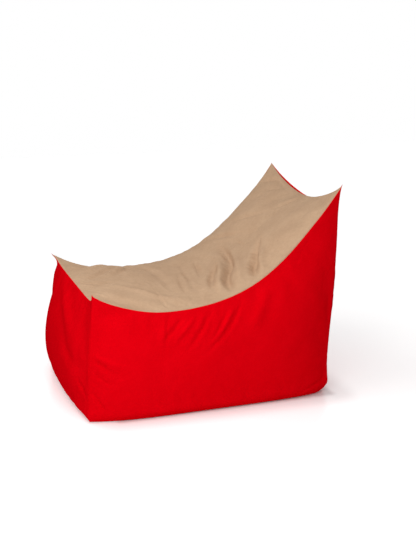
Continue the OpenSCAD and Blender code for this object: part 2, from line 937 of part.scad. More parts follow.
seat_panel();
left_side_panel();
right_side_panel();
front_panel();
back_panel_upper();
back_panel_lower();
base_panel();
seam_thread_left();
seam_thread_right();
seam_thread_seat_front();
seam_thread_seat_back();
seam_thread_base_front();
seam_thread_base_back();
zip_tape_upper();
zip_tape_lower();
zip_coil_upper();
zip_coil_lower();
zip_stitch_upper();
zip_stitch_lower();
zip_top_stops();
zip_bottom_stop();
zip_slider();
zip_pull_tab();
liner_left_side();
liner_right_side();
liner_wrap();
liner_closure_hook();
liner_closure_loop();
bead_fill();
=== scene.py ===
# Lounge bean bag chair: red and beige woven cover with four pulled-up horns, a zip across
# the lower back, a white liner and its beads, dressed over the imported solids.
# Metres. +Z is up, the front faces -Y, and right is +X, as seen from the front.

import math

import bmesh
import bpy
import numpy as np
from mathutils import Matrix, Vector


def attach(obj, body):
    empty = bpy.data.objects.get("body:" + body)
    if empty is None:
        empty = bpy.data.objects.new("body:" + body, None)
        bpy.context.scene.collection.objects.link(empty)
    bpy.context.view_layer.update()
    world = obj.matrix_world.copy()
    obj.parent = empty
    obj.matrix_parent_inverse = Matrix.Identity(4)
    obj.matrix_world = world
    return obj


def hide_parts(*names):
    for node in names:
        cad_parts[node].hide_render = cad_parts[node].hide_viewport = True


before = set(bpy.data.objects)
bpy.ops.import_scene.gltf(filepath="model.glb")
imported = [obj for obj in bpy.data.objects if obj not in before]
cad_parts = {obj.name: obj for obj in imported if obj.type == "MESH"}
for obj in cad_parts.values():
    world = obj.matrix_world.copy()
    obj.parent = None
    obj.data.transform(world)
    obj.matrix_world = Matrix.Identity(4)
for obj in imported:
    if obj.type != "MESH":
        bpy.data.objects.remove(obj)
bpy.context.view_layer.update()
scene = bpy.context.scene
print("frame loaded:", len(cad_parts), "solids")

# Camera

cameraSetup = dict(azimuth=71.17, elevation=15.94, distance=3.681, target=(0, 0, 0.3325),
                   lens=60.36, shiftX=0.0441, shiftY=0.0364)


def makeCamera(setup):
    turn, rise = math.radians(setup["azimuth"]), math.radians(setup["elevation"])
    away = Vector((math.sin(turn) * math.cos(rise), -math.cos(turn) * math.cos(rise), math.sin(rise)))
    data = bpy.data.cameras.new("camera")
    data.lens, data.sensor_width = setup["lens"], 36
    data.shift_x, data.shift_y = setup["shiftX"], setup["shiftY"]
    camera = bpy.data.objects.new("camera", data)
    camera.location = Vector(setup["target"]) + away * setup["distance"]
    camera.rotation_euler = (-away).to_track_quat("-Z", "Y").to_euler()
    scene.collection.objects.link(camera)
    scene.camera = camera


makeCamera(cameraSetup)
print("camera placed")

# Colours and nodes


def srgb(code):
    # linear = ((c + 0.055) / 1.055) ** 2.4, or c / 12.92 near black
    parts = [int(code[i:i + 2], 16) / 255 for i in (1, 3, 5)]
    return (*[((c + 0.055) / 1.055) ** 2.4 if c > 0.04045 else c / 12.92 for c in parts], 1.0)


def setInputs(tree, node, inputs):
    # An input is a value, or the socket that feeds it
    for name, value in inputs.items():
        if isinstance(value, bpy.types.NodeSocket):
            tree.links.new(value, node.inputs[name])
        else:
            node.inputs[name].default_value = value


def addNode(tree, kind, inputs=None, stops=(), **settings):
    # A node with its inputs and settings; stops are a colour ramp's places and colours
    node = tree.nodes.new(kind)
    for name, value in settings.items():
        setattr(node, name, value)
    setInputs(tree, node, inputs or {})
    if stops:
        elements = node.color_ramp.elements
        while len(elements) < len(stops):
            elements.new(0.5)
        for element, (place, colour) in zip(elements, stops):
            element.position, element.color = place, colour
    return node


def newMaterial(name):
    material = bpy.data.materials.new(name)
    material.use_nodes = True
    return material, material.node_tree


def finishMaterial(material, inputs):
    tree = material.node_tree
    setInputs(tree, tree.nodes["Principled BSDF"], inputs)
    return material


# Materials

# Woven polyester canvas: flat spun threads in a plain weave. The eye gets a matt, even
# colour, thread-sized grain close to, and slow drifts of shade where the cloth has been
# handled. Threads of the real cloth are 0.75 mm apart.
redCloth = dict(name="woven polyester canvas, red", dark="#df000e", light="#e80111",
                threadPitch=0.75e-3, threadDepth=0.12e-3, roughness=0.86, specular=0.0)
beigeCloth = dict(name="woven polyester canvas, beige", dark="#bc9a7c", light="#c8a788",
                  threadPitch=0.75e-3, threadDepth=0.12e-3, roughness=0.86, specular=0.12)
linerCloth = dict(name="spun polyester lining, white", dark="#e4e3df", light="#f7f6f3",
                  threadPitch=0.5e-3, threadDepth=0.06e-3, roughness=0.8, specular=0.2)
# Drifts of tone about 90 mm across, slubs about 12 mm, and painted shade: the weave's hollows a little
# darker, its crowns a little lighter
weave = dict(drift={"Scale": 11.0, "Detail": 3.0, "Roughness": 0.55},
             slub={"Scale": 80.0, "Detail": 4.0, "Roughness": 0.7},
             shadeFrom=0.36, shadeTo=0.64, hollowShade=0.93, crownLight=1.04, slubHeight=0.5, bump=0.24)


def wovenMaterial(cloth):
    material, tree = newMaterial(cloth["name"])
    place = addNode(tree, "ShaderNodeUVMap", uv_map="cloth").outputs["UV"]
    split = addNode(tree, "ShaderNodeSeparateXYZ", {"Vector": place}).outputs
    waves = []
    for axis in ("X", "Y"):     # cos(pi x / pitch) along each thread direction
        turn = addNode(tree, "ShaderNodeMath", {0: split[axis], 1: math.pi / cloth["threadPitch"]},
                       operation="MULTIPLY").outputs[0]
        waves.append(addNode(tree, "ShaderNodeMath", {0: turn}, operation="COSINE").outputs[0])
    over = addNode(tree, "ShaderNodeMath", {0: waves[0], 1: waves[1]}, operation="MULTIPLY").outputs[0]
    drift, slub = (addNode(tree, "ShaderNodeTexNoise", {"Vector": place, **weave[kind]}).outputs["Fac"]
                   for kind in ("drift", "slub"))
    mixed = addNode(tree, "ShaderNodeMath", {0: drift, 1: slub}, operation="ADD").outputs[0]
    halved = addNode(tree, "ShaderNodeMath", {0: mixed, 1: 0.5}, operation="MULTIPLY").outputs[0]
    stops = ((weave["shadeFrom"], srgb(cloth["dark"])), (weave["shadeTo"], srgb(cloth["light"])))
    shade = addNode(tree, "ShaderNodeValToRGB", {"Fac": halved}, stops=stops).outputs["Color"]
    # Painted shade and light: the colour is darker in the weave's hollows and lighter on its crowns
    hollowShade = addNode(tree, "ShaderNodeMapRange",
                     {"Value": over, "From Min": -1.0, "From Max": 1.0,
                      "To Min": weave["hollowShade"], "To Max": weave["crownLight"]}).outputs["Result"]
    colour = addNode(tree, "ShaderNodeVectorMath", {0: shade, "Scale": hollowShade}, operation="SCALE").outputs[0]
    height = addNode(tree, "ShaderNodeMath", {0: slub, 1: weave["slubHeight"], 2: over},
                     operation="MULTIPLY_ADD").outputs[0]
    relief = addNode(tree, "ShaderNodeBump", {"Strength": weave["bump"], "Distance": cloth["threadDepth"],
                                              "Height": height}).outputs["Normal"]
    return finishMaterial(material, {"Base Color": colour, "Roughness": cloth["roughness"],
                                     "Specular IOR Level": cloth["specular"], "Normal": relief})


# Spun polyester thread: twisted plies, seen as fine slanted ribs 0.6 mm apart, with painted shade darkening
# the grooves between them
def threadMaterial(name, dark, light):
    material, tree = newMaterial(name)
    place = addNode(tree, "ShaderNodeUVMap", uv_map="cloth").outputs["UV"]
    slanted = addNode(tree, "ShaderNodeMapping",
                      {"Vector": place, "Rotation": (0, 0, math.radians(35))}).outputs["Vector"]
    plies = addNode(tree, "ShaderNodeTexWave", {"Vector": slanted, "Scale": 520.0, "Distortion": 0.4},
                    bands_direction="X").outputs["Fac"]
    # Painted shade: darker in the grooves between the plies, lighter on the plies
    colour = addNode(tree, "ShaderNodeValToRGB", {"Fac": plies},
                     stops=((0, srgb(dark)), (1, srgb(light)))).outputs["Color"]
    relief = addNode(tree, "ShaderNodeBump",
                     {"Strength": 0.7, "Distance": 0.1e-3, "Height": plies}).outputs["Normal"]
    return finishMaterial(material, {"Base Color": colour, "Roughness": 0.55,
                                     "Specular IOR Level": 0.3, "Normal": relief})


# Zip tape: polyester knitted in narrow ribs along its length, with a course across them, and painted shade
# that darkens the knit where it lies low
def tapeMaterial(ribPitch=1.1e-3, coursePitch=0.9e-3, courseHeight=0.4):
    material, tree = newMaterial("knitted polyester zip tape, red")
    place = addNode(tree, "ShaderNodeTexCoord").outputs["Object"]
    split = addNode(tree, "ShaderNodeSeparateXYZ", {"Vector": place}).outputs
    waves = []
    for axis, pitch in (("Z", ribPitch), ("X", coursePitch)):   # cos(2 pi x / pitch)
        turn = addNode(tree, "ShaderNodeMath", {0: split[axis], 1: 2 * math.pi / pitch},
                       operation="MULTIPLY").outputs[0]
        waves.append(addNode(tree, "ShaderNodeMath", {0: turn}, operation="COSINE").outputs[0])
    height = addNode(tree, "ShaderNodeMath", {0: waves[1], 1: courseHeight, 2: waves[0]},
                     operation="MULTIPLY_ADD").outputs[0]
    # Painted shade: the lower the knit, the darker its colour, taken from the same height as its bump
    level = addNode(tree, "ShaderNodeMapRange",
                    {"Value": height, "From Min": -1 - courseHeight,
                     "From Max": 1 + courseHeight}).outputs["Result"]
    colour = addNode(tree, "ShaderNodeValToRGB", {"Fac": level},
                     stops=((0, srgb("#8e0009")), (1, srgb("#c4010f")))).outputs["Color"]
    relief = addNode(tree, "ShaderNodeBump",
                     {"Strength": 0.8, "Distance": 0.15e-3, "Height": height}).outputs["Normal"]
    return finishMaterial(material, {"Base Color": colour, "Roughness": 0.75,
                                     "Specular IOR Level": 0.15, "Normal": relief})


# Drawn nylon monofilament, dyed: a smooth plastic with a soft gloss, its dye a little uneven
# over 4 mm
def coilMaterial():
    material, tree = newMaterial("nylon monofilament, red")
    place = addNode(tree, "ShaderNodeTexCoord").outputs["Object"]
    cloud = addNode(tree, "ShaderNodeTexNoise",
                    {"Vector": place, "Scale": 260.0, "Detail": 2.0}).outputs["Fac"]
    colour = addNode(tree, "ShaderNodeValToRGB", {"Fac": cloud},
                     stops=((0.3, srgb("#a0000c")), (0.7, srgb("#cc0212")))).outputs["Color"]
    return finishMaterial(material, {"Base Color": colour, "Roughness": 0.32, "IOR": 1.53})


# Die-cast zinc with nickel plate: bright, faintly mottled over 2.4 mm, with fine rubbed lines
# 0.3 mm apart. The lines are coarser than real ones, which are too fine to show.
def zipMetalMaterial():
    material, tree = newMaterial("nickel-plated zinc casting")
    place = addNode(tree, "ShaderNodeTexCoord").outputs["Object"]
    stretched = addNode(tree, "ShaderNodeMapping",
                        {"Vector": place, "Scale": (1.0, 1.0, 0.08)}).outputs["Vector"]
    lines = addNode(tree, "ShaderNodeTexNoise",
                    {"Vector": stretched, "Scale": 3000.0, "Detail": 3.0}).outputs["Fac"]
    cloud = addNode(tree, "ShaderNodeTexNoise",
                    {"Vector": place, "Scale": 420.0, "Detail": 3.0}).outputs["Fac"]
    colour = addNode(tree, "ShaderNodeValToRGB", {"Fac": cloud},
                     stops=((0.3, srgb("#a9a7a3")), (0.7, srgb("#cfcdc9")))).outputs["Color"]
    rough = addNode(tree, "ShaderNodeMapRange",
                    {"Value": lines, "To Min": 0.22, "To Max": 0.42}).outputs["Result"]
    relief = addNode(tree, "ShaderNodeBump",
                     {"Strength": 0.3, "Distance": 0.03e-3, "Height": lines}).outputs["Normal"]
    return finishMaterial(material, {"Base Color": colour, "Roughness": rough,
                                     "Metallic": 1.0, "Normal": relief})


# Touch tape: one face of stiff nylon hooks, one of brushed loops, on a woven ground, with painted shade
# between the hooks and between the loops
def closureMaterial(name, pitch, depth, dark, light):
    material, tree = newMaterial(name)
    place = addNode(tree, "ShaderNodeUVMap", uv_map="cloth").outputs["UV"]
    cells = addNode(tree, "ShaderNodeTexVoronoi", {"Vector": place, "Scale": 1 / pitch,
                                                   "Randomness": 0.55}).outputs["Distance"]
    # Painted shade: darker between the hooks or loops, lighter on them
    colour = addNode(tree, "ShaderNodeValToRGB", {"Fac": cells},
                     stops=((0.1, srgb(light)), (0.8, srgb(dark)))).outputs["Color"]
    relief = addNode(tree, "ShaderNodeBump", {"Strength": 1.0, "Distance": depth, "Height": cells},
                     invert=True).outputs["Normal"]
    return finishMaterial(material, {"Base Color": colour, "Roughness": 0.7,
                                     "Specular IOR Level": 0.25, "Normal": relief})


# Expanded polystyrene beads: matt white balls that touch, with painted shade where they meet
def beadMaterial(size=4e-3):
    material, tree = newMaterial("expanded polystyrene beads")
    place = addNode(tree, "ShaderNodeTexCoord").outputs["Object"]
    balls = addNode(tree, "ShaderNodeTexVoronoi", {"Vector": place, "Scale": 1 / size,
                                                   "Randomness": 0.8}).outputs["Distance"]
    # Painted shade: grey where the balls meet, white on their tops
    colour = addNode(tree, "ShaderNodeValToRGB", {"Fac": balls},
                     stops=((0.35, srgb("#f6f6f4")), (0.75, srgb("#c9c9c6")))).outputs["Color"]
    relief = addNode(tree, "ShaderNodeBump", {"Strength": 1.0, "Distance": size / 2, "Height": balls},
                     invert=True).outputs["Normal"]
    return finishMaterial(material, {"Base Color": colour, "Roughness": 0.6,
                                     "Specular IOR Level": 0.3, "Normal": relief})


redWoven, beigeWoven, linerWoven = (wovenMaterial(cloth) for cloth in (redCloth, beigeCloth, linerCloth))
redThread = threadMaterial("spun polyester thread, red", "#8c0009", "#c4010f")
beigeThread = threadMaterial("spun polyester thread, beige", "#8f7258", "#c2a386")
zipTape = tapeMaterial()
zipNylon = coilMaterial()
zipMetal = zipMetalMaterial()
hookTape = closureMaterial("nylon hook tape, white", 1.3e-3, 0.6e-3, "#b9b9b5", "#ededea")
loopTape = closureMaterial("nylon loop tape, white", 0.7e-3, 0.4e-3, "#cfcfcb", "#f4f4f1")
beadWhite = beadMaterial()
print("materials made")

# The bag's surfaces

# The same sizes and formulas as the solids have, in metres. nearDip is the cloth's own: the
# front seam hangs lower towards the right-hand horn, where the bag has been sat in.
bag = dict(
    baseWidth=0.680, baseDepth=0.950, baseSideBow=0.034, baseFrontBow=0.012, baseBackBow=0.022,
    frontHeight=0.474, backHeight=0.805, frontIn=0.006, backIn=0.020, frontLean=0.026, backLean=0.035,
    hornFlare=0.010, frontTipOut=0.012, backTipOut=0.011,
    seatHeight=0.381, seatLowAt=0.309, seatSplit=0.28, frontSlope=41, backSlope=53.5,
    frontPull=0.089, backPull=0.321, levelFront=0.082, levelBack=0.358,
    frontDip=0.036, nearDip=0.016, frontSeamIn=0.012, backDip=0.093, backSeamOut=0.008,
    seatPuff=0.092, sidePuff=0.045, frontPuff=0.058, backPuff=0.045, lowerPuff=0.005,
    clothThickness=0.8e-3, linerThickness=0.5e-3, linerDepth=6e-3, fillDepth=9.2e-3)
zipper = dict(height=0.135, bow=0.036, drawnIn=0.008, hemGap=0.013, hemHeight=0.010, stitchIn=0.003,
              stitchSize=0.5e-3, stitchLength=3.1e-3, stitchPitch=4e-3, tapeEnd=0.010,
              chainHalf=0.262, coilSize=2.5e-3, coilWire=0.68e-3, coilPitch=1.31e-3, chainGap=0.9e-3)
closure = dict(aboveZip=0.105, inFromSide=0.084, height=0.025, thickness=0.8e-3, flapPast=0.006,
               pointsAcross=61, pointsUp=5)

halfWidth, halfDepth = bag["baseWidth"] / 2, bag["baseDepth"] / 2
frontTip = np.array([halfWidth - bag["frontIn"], -halfDepth + bag["frontLean"], bag["frontHeight"]])
backTip = np.array([halfWidth - bag["backIn"], halfDepth + bag["backLean"], bag["backHeight"]])
seatLow = np.array([frontTip[0] * 0.7 + backTip[0] * 0.3, -halfDepth + bag["seatLowAt"], bag["seatHeight"]])
zipY = halfDepth - zipper["drawnIn"]
zipRadius = (halfWidth ** 2 + zipper["bow"] ** 2) / (2 * zipper["bow"])
zipCentreY = zipY + zipper["bow"] - zipRadius
lowV = (zipper["height"] - zipper["hemGap"] / 2 - zipper["hemHeight"]) / bag["backHeight"]
highV = (zipper["height"] + zipper["hemGap"] / 2 + zipper["hemHeight"]) / bag["backHeight"]
mirrorX = np.array([-1.0, 1.0, 1.0])


def lerp(a, b, t):      # a (1 - t) + b t
    return a * (1 - t) + b * t


def bump(t, power):     # 1 - |2 t - 1| ^ power: 0 at both ends, 1 in the middle
    return 1 - np.abs(2 * t - 1) ** power


def drawnIn(t):         # t^2 - t^12: a horn's edge, which turns out only near its tip
    return t ** 2 - t ** 12


def ease(t):            # t^2 (3 - 2 t)
    return t * t * (3 - 2 * t)


def join(x, y, z):
    return np.stack(np.broadcast_arrays(x, y, z), -1).astype(float)


def bezier(a, b, c, d, t):   # a (1-t)^3 + 3 b t (1-t)^2 + 3 c t^2 (1-t) + d t^3
    t = t[:, None]
    return a * (1 - t) ** 3 + 3 * b * t * (1 - t) ** 2 + 3 * c * t ** 2 * (1 - t) + d * t ** 3


def frontEdge(v):
    return join(lerp(halfWidth, frontTip[0], v) - bag["hornFlare"] * drawnIn(v),
                lerp(-halfDepth, frontTip[1], v * v) + bag["frontTipOut"] * drawnIn(v),
                bag["frontHeight"] * v)


def backEdge(v):        # drawn in to the zip, upright past it, then leaning back to the tip
    foot = np.clip(v / lowV, 0, 1)
    t = np.clip((v - highV) / (1 - highV), 0, 1)
    lean = bag["backLean"] + zipper["drawnIn"] - bag["backTipOut"]
    return join(lerp(halfWidth, backTip[0], t) - bag["hornFlare"] * drawnIn(t),
                lerp(halfDepth, zipY, foot ** 3) + lean * ease(np.minimum(t / 0.75, 1))
                + bag["backTipOut"] * t ** 16,
                bag["backHeight"] * v)


def baseSide(s):
    return join(halfWidth + bag["baseSideBow"] * bump(s, 4), lerp(-halfDepth, halfDepth, s), 0)


def baseFront(t):
    return join(lerp(-halfWidth, halfWidth, t), -halfDepth - bag["baseFrontBow"] * bump(t, 2), 0)


def baseBack(t):
    return join(lerp(-halfWidth, halfWidth, t), halfDepth + bag["baseBackBow"] * bump(t, 2), 0)


def frontSeam(t):       # dips by bump(t, 5 to 9), and t^2 (1 - t^14) more towards the right
    dip = bag["frontDip"] * (1 - np.abs(2 * t - 1) ** lerp(5, 9, t)) + bag["nearDip"] * t ** 2 * (1 - t ** 14)
    return join(lerp(-frontTip[0], frontTip[0], t), frontTip[1] + bag["frontSeamIn"] * bump(t, 6),
                frontTip[2] - dip)


def backSeam(t):
    return join(lerp(-backTip[0], backTip[0], t), backTip[1] + bag["backSeamOut"] * bump(t, 2),
                backTip[2] - bag["backDip"] * bump(t, 2))


def zipLine(t, z):      # an arc: y = centre + sqrt(radius^2 - x^2)
    x = lerp(-halfWidth, halfWidth, t)
    return join(x, zipCentreY + np.sqrt(zipRadius ** 2 - x ** 2), z)


def sideSeam(s):        # two Bezier curves that meet, level, where the seat is lowest
    front, back = math.radians(bag["frontSlope"]), math.radians(bag["backSlope"])
    near = bezier(frontTip, frontTip + bag["frontPull"] * np.array([0, math.cos(front), -math.sin(front)]),
                  seatLow - np.array([0, bag["levelFront"], 0]), seatLow, s / bag["seatSplit"])
    far = bezier(seatLow, seatLow + np.array([0, bag["levelBack"], 0]),
                 backTip - bag["backPull"] * np.array([0, math.cos(back), math.sin(back)]), backTip,
                 (s - bag["seatSplit"]) / (1 - bag["seatSplit"]))
    seam = np.where(s[:, None] <= bag["seatSplit"], near, far)
    seam[:, 0] -= bag["hornFlare"] / 2 * bump(s, 6)
    return seam


def coons(bottom, top, left, right, us, vs):
    # lerp(bottom, top, v) + lerp(left, right, u) - the corners' own bilinear surface
    u, v = us[None, :, None], vs[:, None, None]
    return (lerp(bottom[None], top[None], v) + lerp(left[:, None], right[:, None], u)
            - lerp(lerp(bottom[0], bottom[-1], u), lerp(top[0], top[-1], u), v))


def sideFace(us, vs):   # Coons surface + x side puff bump(s, 4) bump(v, 2)
    face = coons(baseSide(us), sideSeam(us), frontEdge(vs), backEdge(vs), us, vs)
    face[..., 0] += bag["sidePuff"] * bump(us, 4)[None] * bump(vs, 2)[:, None]
    return face


def frontFace(us, vs):  # Coons surface - y front puff bump(t, 3) bump(v^0.92, 2)
    face = coons(baseFront(us), frontSeam(us), frontEdge(vs) * mirrorX, frontEdge(vs), us, vs)
    face[..., 1] -= bag["frontPuff"] * bump(us, 3)[None] * bump(vs ** 0.92, 2)[:, None]
    return face


def backFace(us, vs):   # the zip's arc between a lower and an upper surface, each puffed by bump bump
    low, high = vs[vs <= lowV], vs[vs >= highV]
    strip = vs[(vs > lowV) & (vs < highV)]
    lower = coons(baseBack(us), zipLine(us, lowV * bag["backHeight"]), backEdge(low) * mirrorX,
                  backEdge(low), us, low / lowV)
    lower[..., 1] += bag["lowerPuff"] * bump(us, 2)[None] * bump(low / lowV, 2)[:, None]
    w = (high - highV) / (1 - highV)
    upper = coons(zipLine(us, highV * bag["backHeight"]), backSeam(us), backEdge(high) * mirrorX,
                  backEdge(high), us, w)
    upper[..., 1] += bag["backPuff"] * bump(us, 2)[None] * bump(w, 2)[:, None]
    middle = zipLine(us[None], strip[:, None] * bag["backHeight"])
    return np.concatenate([lower, middle, upper])


def seatFace(us, vs):   # Coons surface + seat puff bump(t, 5) bump(s, 4) along the seam run's normal
    face = coons(frontSeam(us), backSeam(us), sideSeam(vs) * mirrorX, sideSeam(vs), us, vs)
    run = sideSeam(np.minimum(vs + 0.01, 1)) - sideSeam(np.maximum(vs - 0.01, 0))
    lift = join(0, -run[:, 2], run[:, 1])
    lift /= np.linalg.norm(lift, axis=1, keepdims=True)
    puff = bag["seatPuff"] * bump(us, 5)[None] * bump(vs, 4)[:, None]
    return face + puff[..., None] * lift[:, None]


def baseFace(us, vs):
    return coons(baseFront(us), baseBack(us), baseSide(vs) * mirrorX, baseSide(vs), us, vs)


# Where the cloth has settled away from the solids: [place, reach, shift], each a shift that
# fades as exp(-(distance / reach)^2)
settled = [
    [(-0.334, -0.452, 0.441), 0.030, (0, 0.019, 0)],      # the left front horn is pinched under its tip
    [(-0.334, -0.449, 0.474), 0.034, (0, -0.016, 0)],     # and the tip points forward
    [(-0.335, -0.470, 0.330), 0.090, (0, -0.006, 0)],
    [(0.340, 0.475, 0), 0.035, (-0.004, -0.010, 0.008)],  # the right-hand back corner is round
    [(0.335, 0.490, 0.370), 0.130, (0, 0.005, 0)],
]


def settle(points):
    moved = points.copy()
    for place, reach, shift in settled:
        away = np.linalg.norm(points - np.array(place), axis=-1, keepdims=True)
        moved += np.exp(-(away / reach) ** 2) * np.array(shift)
    return moved


# Grids of the cover, welded into one closed skin

skin = dict(across=68, deep=104, below=13, besideZip=4, above=54, leastShare=0.3)
acrossAt = np.linspace(0, 1, skin["across"] + 1)
deepAt = np.linspace(0, 1, skin["deep"] + 1)
upAt = np.concatenate([np.linspace(0, lowV, skin["below"] + 1),
                       np.linspace(lowV, highV, skin["besideZip"] + 1)[1:],
                       np.linspace(highV, 1, skin["above"] + 1)[1:]])
zipRows = (skin["below"], skin["below"] + skin["besideZip"])

sideGrid = sideFace(deepAt, upAt)
grids = dict(seat=seatFace(acrossAt, deepAt), rightSide=sideGrid, leftSide=sideGrid * mirrorX,
             front=frontFace(acrossAt, upAt), back=backFace(acrossAt, upAt), base=baseFace(acrossAt, deepAt))
turned = dict(seat=False, rightSide=False, leftSide=True, front=False, back=True, base=True)


def weldGrids(grids):
    # One list of points for all grids, equal to 0.01 mm, and each grid's places in it
    every = np.concatenate([g.reshape(-1, 3) for g in grids.values()])
    rounded = np.round(every, 5) + 0.0      # adding 0 makes -0 equal to 0
    _, first, inverse = np.unique(rounded, axis=0, return_index=True, return_inverse=True)
    inverse = inverse.reshape(-1)
    places, start = {}, 0
    for name, grid in grids.items():
        count = grid.shape[0] * grid.shape[1]
        places[name] = inverse[start:start + count].reshape(grid.shape[:2])
        start += count
    return every[first], places


def gridQuads(places, turn):
    quads = np.stack([places[:-1, :-1], places[:-1, 1:], places[1:, 1:], places[1:, :-1]], -1).reshape(-1, 4)
    return quads[:, ::-1] if turn else quads


def pointNormals(points, quads):
    # Sum of the faces' unit normals at each point, and the share of it that each face sees
    a, b, c, d = (points[quads[:, k]] for k in range(4))
    faceNormals = np.cross(c - a, d - b)
    faceNormals /= np.linalg.norm(faceNormals, axis=1, keepdims=True) + 1e-12
    total = np.zeros_like(points)
    for k in range(4):
        np.add.at(total, quads[:, k], faceNormals)
    unit = total / (np.linalg.norm(total, axis=1, keepdims=True) + 1e-12)
    seen, count = np.zeros(len(points)), np.zeros(len(points))
    for k in range(4):
        np.add.at(seen, quads[:, k], (faceNormals * unit[quads[:, k]]).sum(1))
        np.add.at(count, quads[:, k], 1)
    return unit, np.maximum(seen / np.maximum(count, 1), skin["leastShare"])


restPoints, places = weldGrids(grids)
onFloor = restPoints[:, 2] < 1e-4
restPoints = settle(restPoints)
skinQuads = np.concatenate([gridQuads(places[name], turned[name]) for name in grids])
restNormals, _ = pointNormals(restPoints, skinQuads)
print("cover skin:", len(restPoints), "points,", len(skinQuads), "faces")

# The cloth, simulated over its filling

clothSetup = dict(frames=22, quality=5, pressure=0.5, stretch=25, shear=8, bend=0.3, damping=8,
                  airDamping=2, mass=0.15, slack=-0.035, seamShrink=0.015, seamReach=0.030,
                  tipReach=0.030, tipHold=1.4,
                  broadRounds=70, outMost=0.005, inMost=0.003,
                  seatFine=0.45, wallFine=0.05, seamFine=0.32, fineReach=0.085)


def simulateSkin(points, quads, pinned, seams, setup):
    # The closed skin as cloth under pressure. Panels have a little more cloth than the
    # surface needs, seams a little less, so the cloth buckles beside them.
    mesh = bpy.data.meshes.new("clothSkin")
    mesh.from_pydata(points.tolist(), [], quads.tolist())
    skinObject = bpy.data.objects.new("clothSkin", mesh)
    scene.collection.objects.link(skinObject)
    for name, weights in (("pinned", pinned), ("seams", seams)):
        group = skinObject.vertex_groups.new(name=name)
        for level in np.unique(np.round(weights, 2)):
            group.add(np.nonzero(np.round(weights, 2) == level)[0].tolist(), float(level), "REPLACE")
    cloth = skinObject.modifiers.new("cloth", "CLOTH")
    settings = cloth.settings
    settings.quality, settings.mass = setup["quality"], setup["mass"]
    settings.tension_stiffness = settings.compression_stiffness = setup["stretch"]
    settings.shear_stiffness, settings.bending_stiffness = setup["shear"], setup["bend"]
    settings.tension_damping = settings.compression_damping = setup["damping"]
    settings.air_damping = setup["airDamping"]
    settings.vertex_group_mass = "pinned"
    settings.use_pressure, settings.uniform_pressure_force = True, setup["pressure"]
    settings.vertex_group_shrink = "seams"
    settings.shrink_min, settings.shrink_max = setup["slack"], setup["seamShrink"]
    settings.effector_weights.gravity = 0
    cloth.point_cache.frame_start, cloth.point_cache.frame_end = 1, setup["frames"] + 1
    for number in range(1, setup["frames"] + 1):
        scene.frame_set(number)
    shaped = skinObject.evaluated_get(bpy.context.evaluated_depsgraph_get()).to_mesh()
    result = np.zeros(len(shaped.vertices) * 3)
    shaped.vertices.foreach_get("co", result)
    scene.frame_set(1)
    bpy.data.objects.remove(skinObject)
    bpy.data.meshes.remove(mesh)
    return result.reshape(-1, 3)


def seamPoints():
    # Both side panels' rims, and the two ends of the seat and the base
    lines = [line for name in ("rightSide", "leftSide")
             for line in (places[name][0], places[name][-1], places[name][:, 0], places[name][:, -1])]
    lines += [places[name][row] for name in ("seat", "base") for row in (0, -1)]
    return np.unique(np.concatenate(lines))


def nearness(points, targets, reach):
    # exp(-(distance to the nearest target / reach)^2)
    least = np.full(len(points), 1e9)
    for start in range(0, len(targets), 64):
        away = np.linalg.norm(points[:, None] - targets[None, start:start + 64], axis=2)
        least = np.minimum(least, away.min(1))
    return np.exp(-(least / reach) ** 2)


def evenOut(values, quads, rounds):
    # Each point half its own value and half its neighbours' mean, as many times as rounds
    edges = np.unique(np.sort(np.concatenate([quads[:, [k, (k + 1) % 4]] for k in range(4)]), 1), axis=0)
    a, b = edges.T
    count = np.bincount(edges.ravel(), minlength=len(values))[:, None]
    for _ in range(rounds):
        near = [np.bincount(a, values[b, k], len(values)) + np.bincount(b, values[a, k], len(values))
                for k in range(3)]
        values = values / 2 + np.stack(near, 1) / count / 2
    return values


tips = np.array([frontTip, frontTip * mirrorX, backTip, backTip * mirrorX])
seamWeights = nearness(restPoints, restPoints[seamPoints()], clothSetup["seamReach"])
zipPlaces = np.unique(places["back"][zipRows[0]:zipRows[1] + 1])
tipHold = np.clip(nearness(restPoints, tips, clothSetup["tipReach"]) * clothSetup["tipHold"], 0, 1)
onZip = np.isin(np.arange(len(restPoints)), zipPlaces)
pinWeights = np.maximum.reduce([tipHold, onFloor.astype(float), onZip.astype(float)])
skinPoints = restPoints.copy()
swollen = simulateSkin(restPoints, skinQuads, pinWeights, seamWeights, clothSetup)
move = swollen - restPoints
broad = evenOut(move, skinQuads, clothSetup["broadRounds"])
# The walls are pulled smooth, but for the cloth beside their seams
nearSeam = nearness(restPoints, restPoints[seamPoints()], clothSetup["fineReach"])
share = clothSetup["wallFine"] + clothSetup["seamFine"] * nearSeam
share[np.unique(places["seat"])] = clothSetup["seatFine"]
fine = (move - broad) * share[:, None]
outward, size = (broad * restNormals).sum(1), np.linalg.norm(broad, axis=1) + 1e-12
most = np.where(outward > 0, clothSetup["outMost"], clothSetup["inMost"])
free = 1 - np.clip(pinWeights, 0, 1)[:, None]
skinPoints = restPoints + (broad * (most * np.tanh(size / most) / size)[:, None] + fine) * free
moved, wrinkled = (np.linalg.norm(way, axis=1).max() * 1e3 for way in (skinPoints - restPoints, fine))
print("cloth moved %.1f mm at most, its wrinkles %.1f mm" % (moved, wrinkled))
skinPoints[:, 2] = np.maximum(skinPoints[:, 2], 0)
skinNormals, skinShare = pointNormals(skinPoints, skinQuads)
print("cover skin shaped")

# From grids to panels


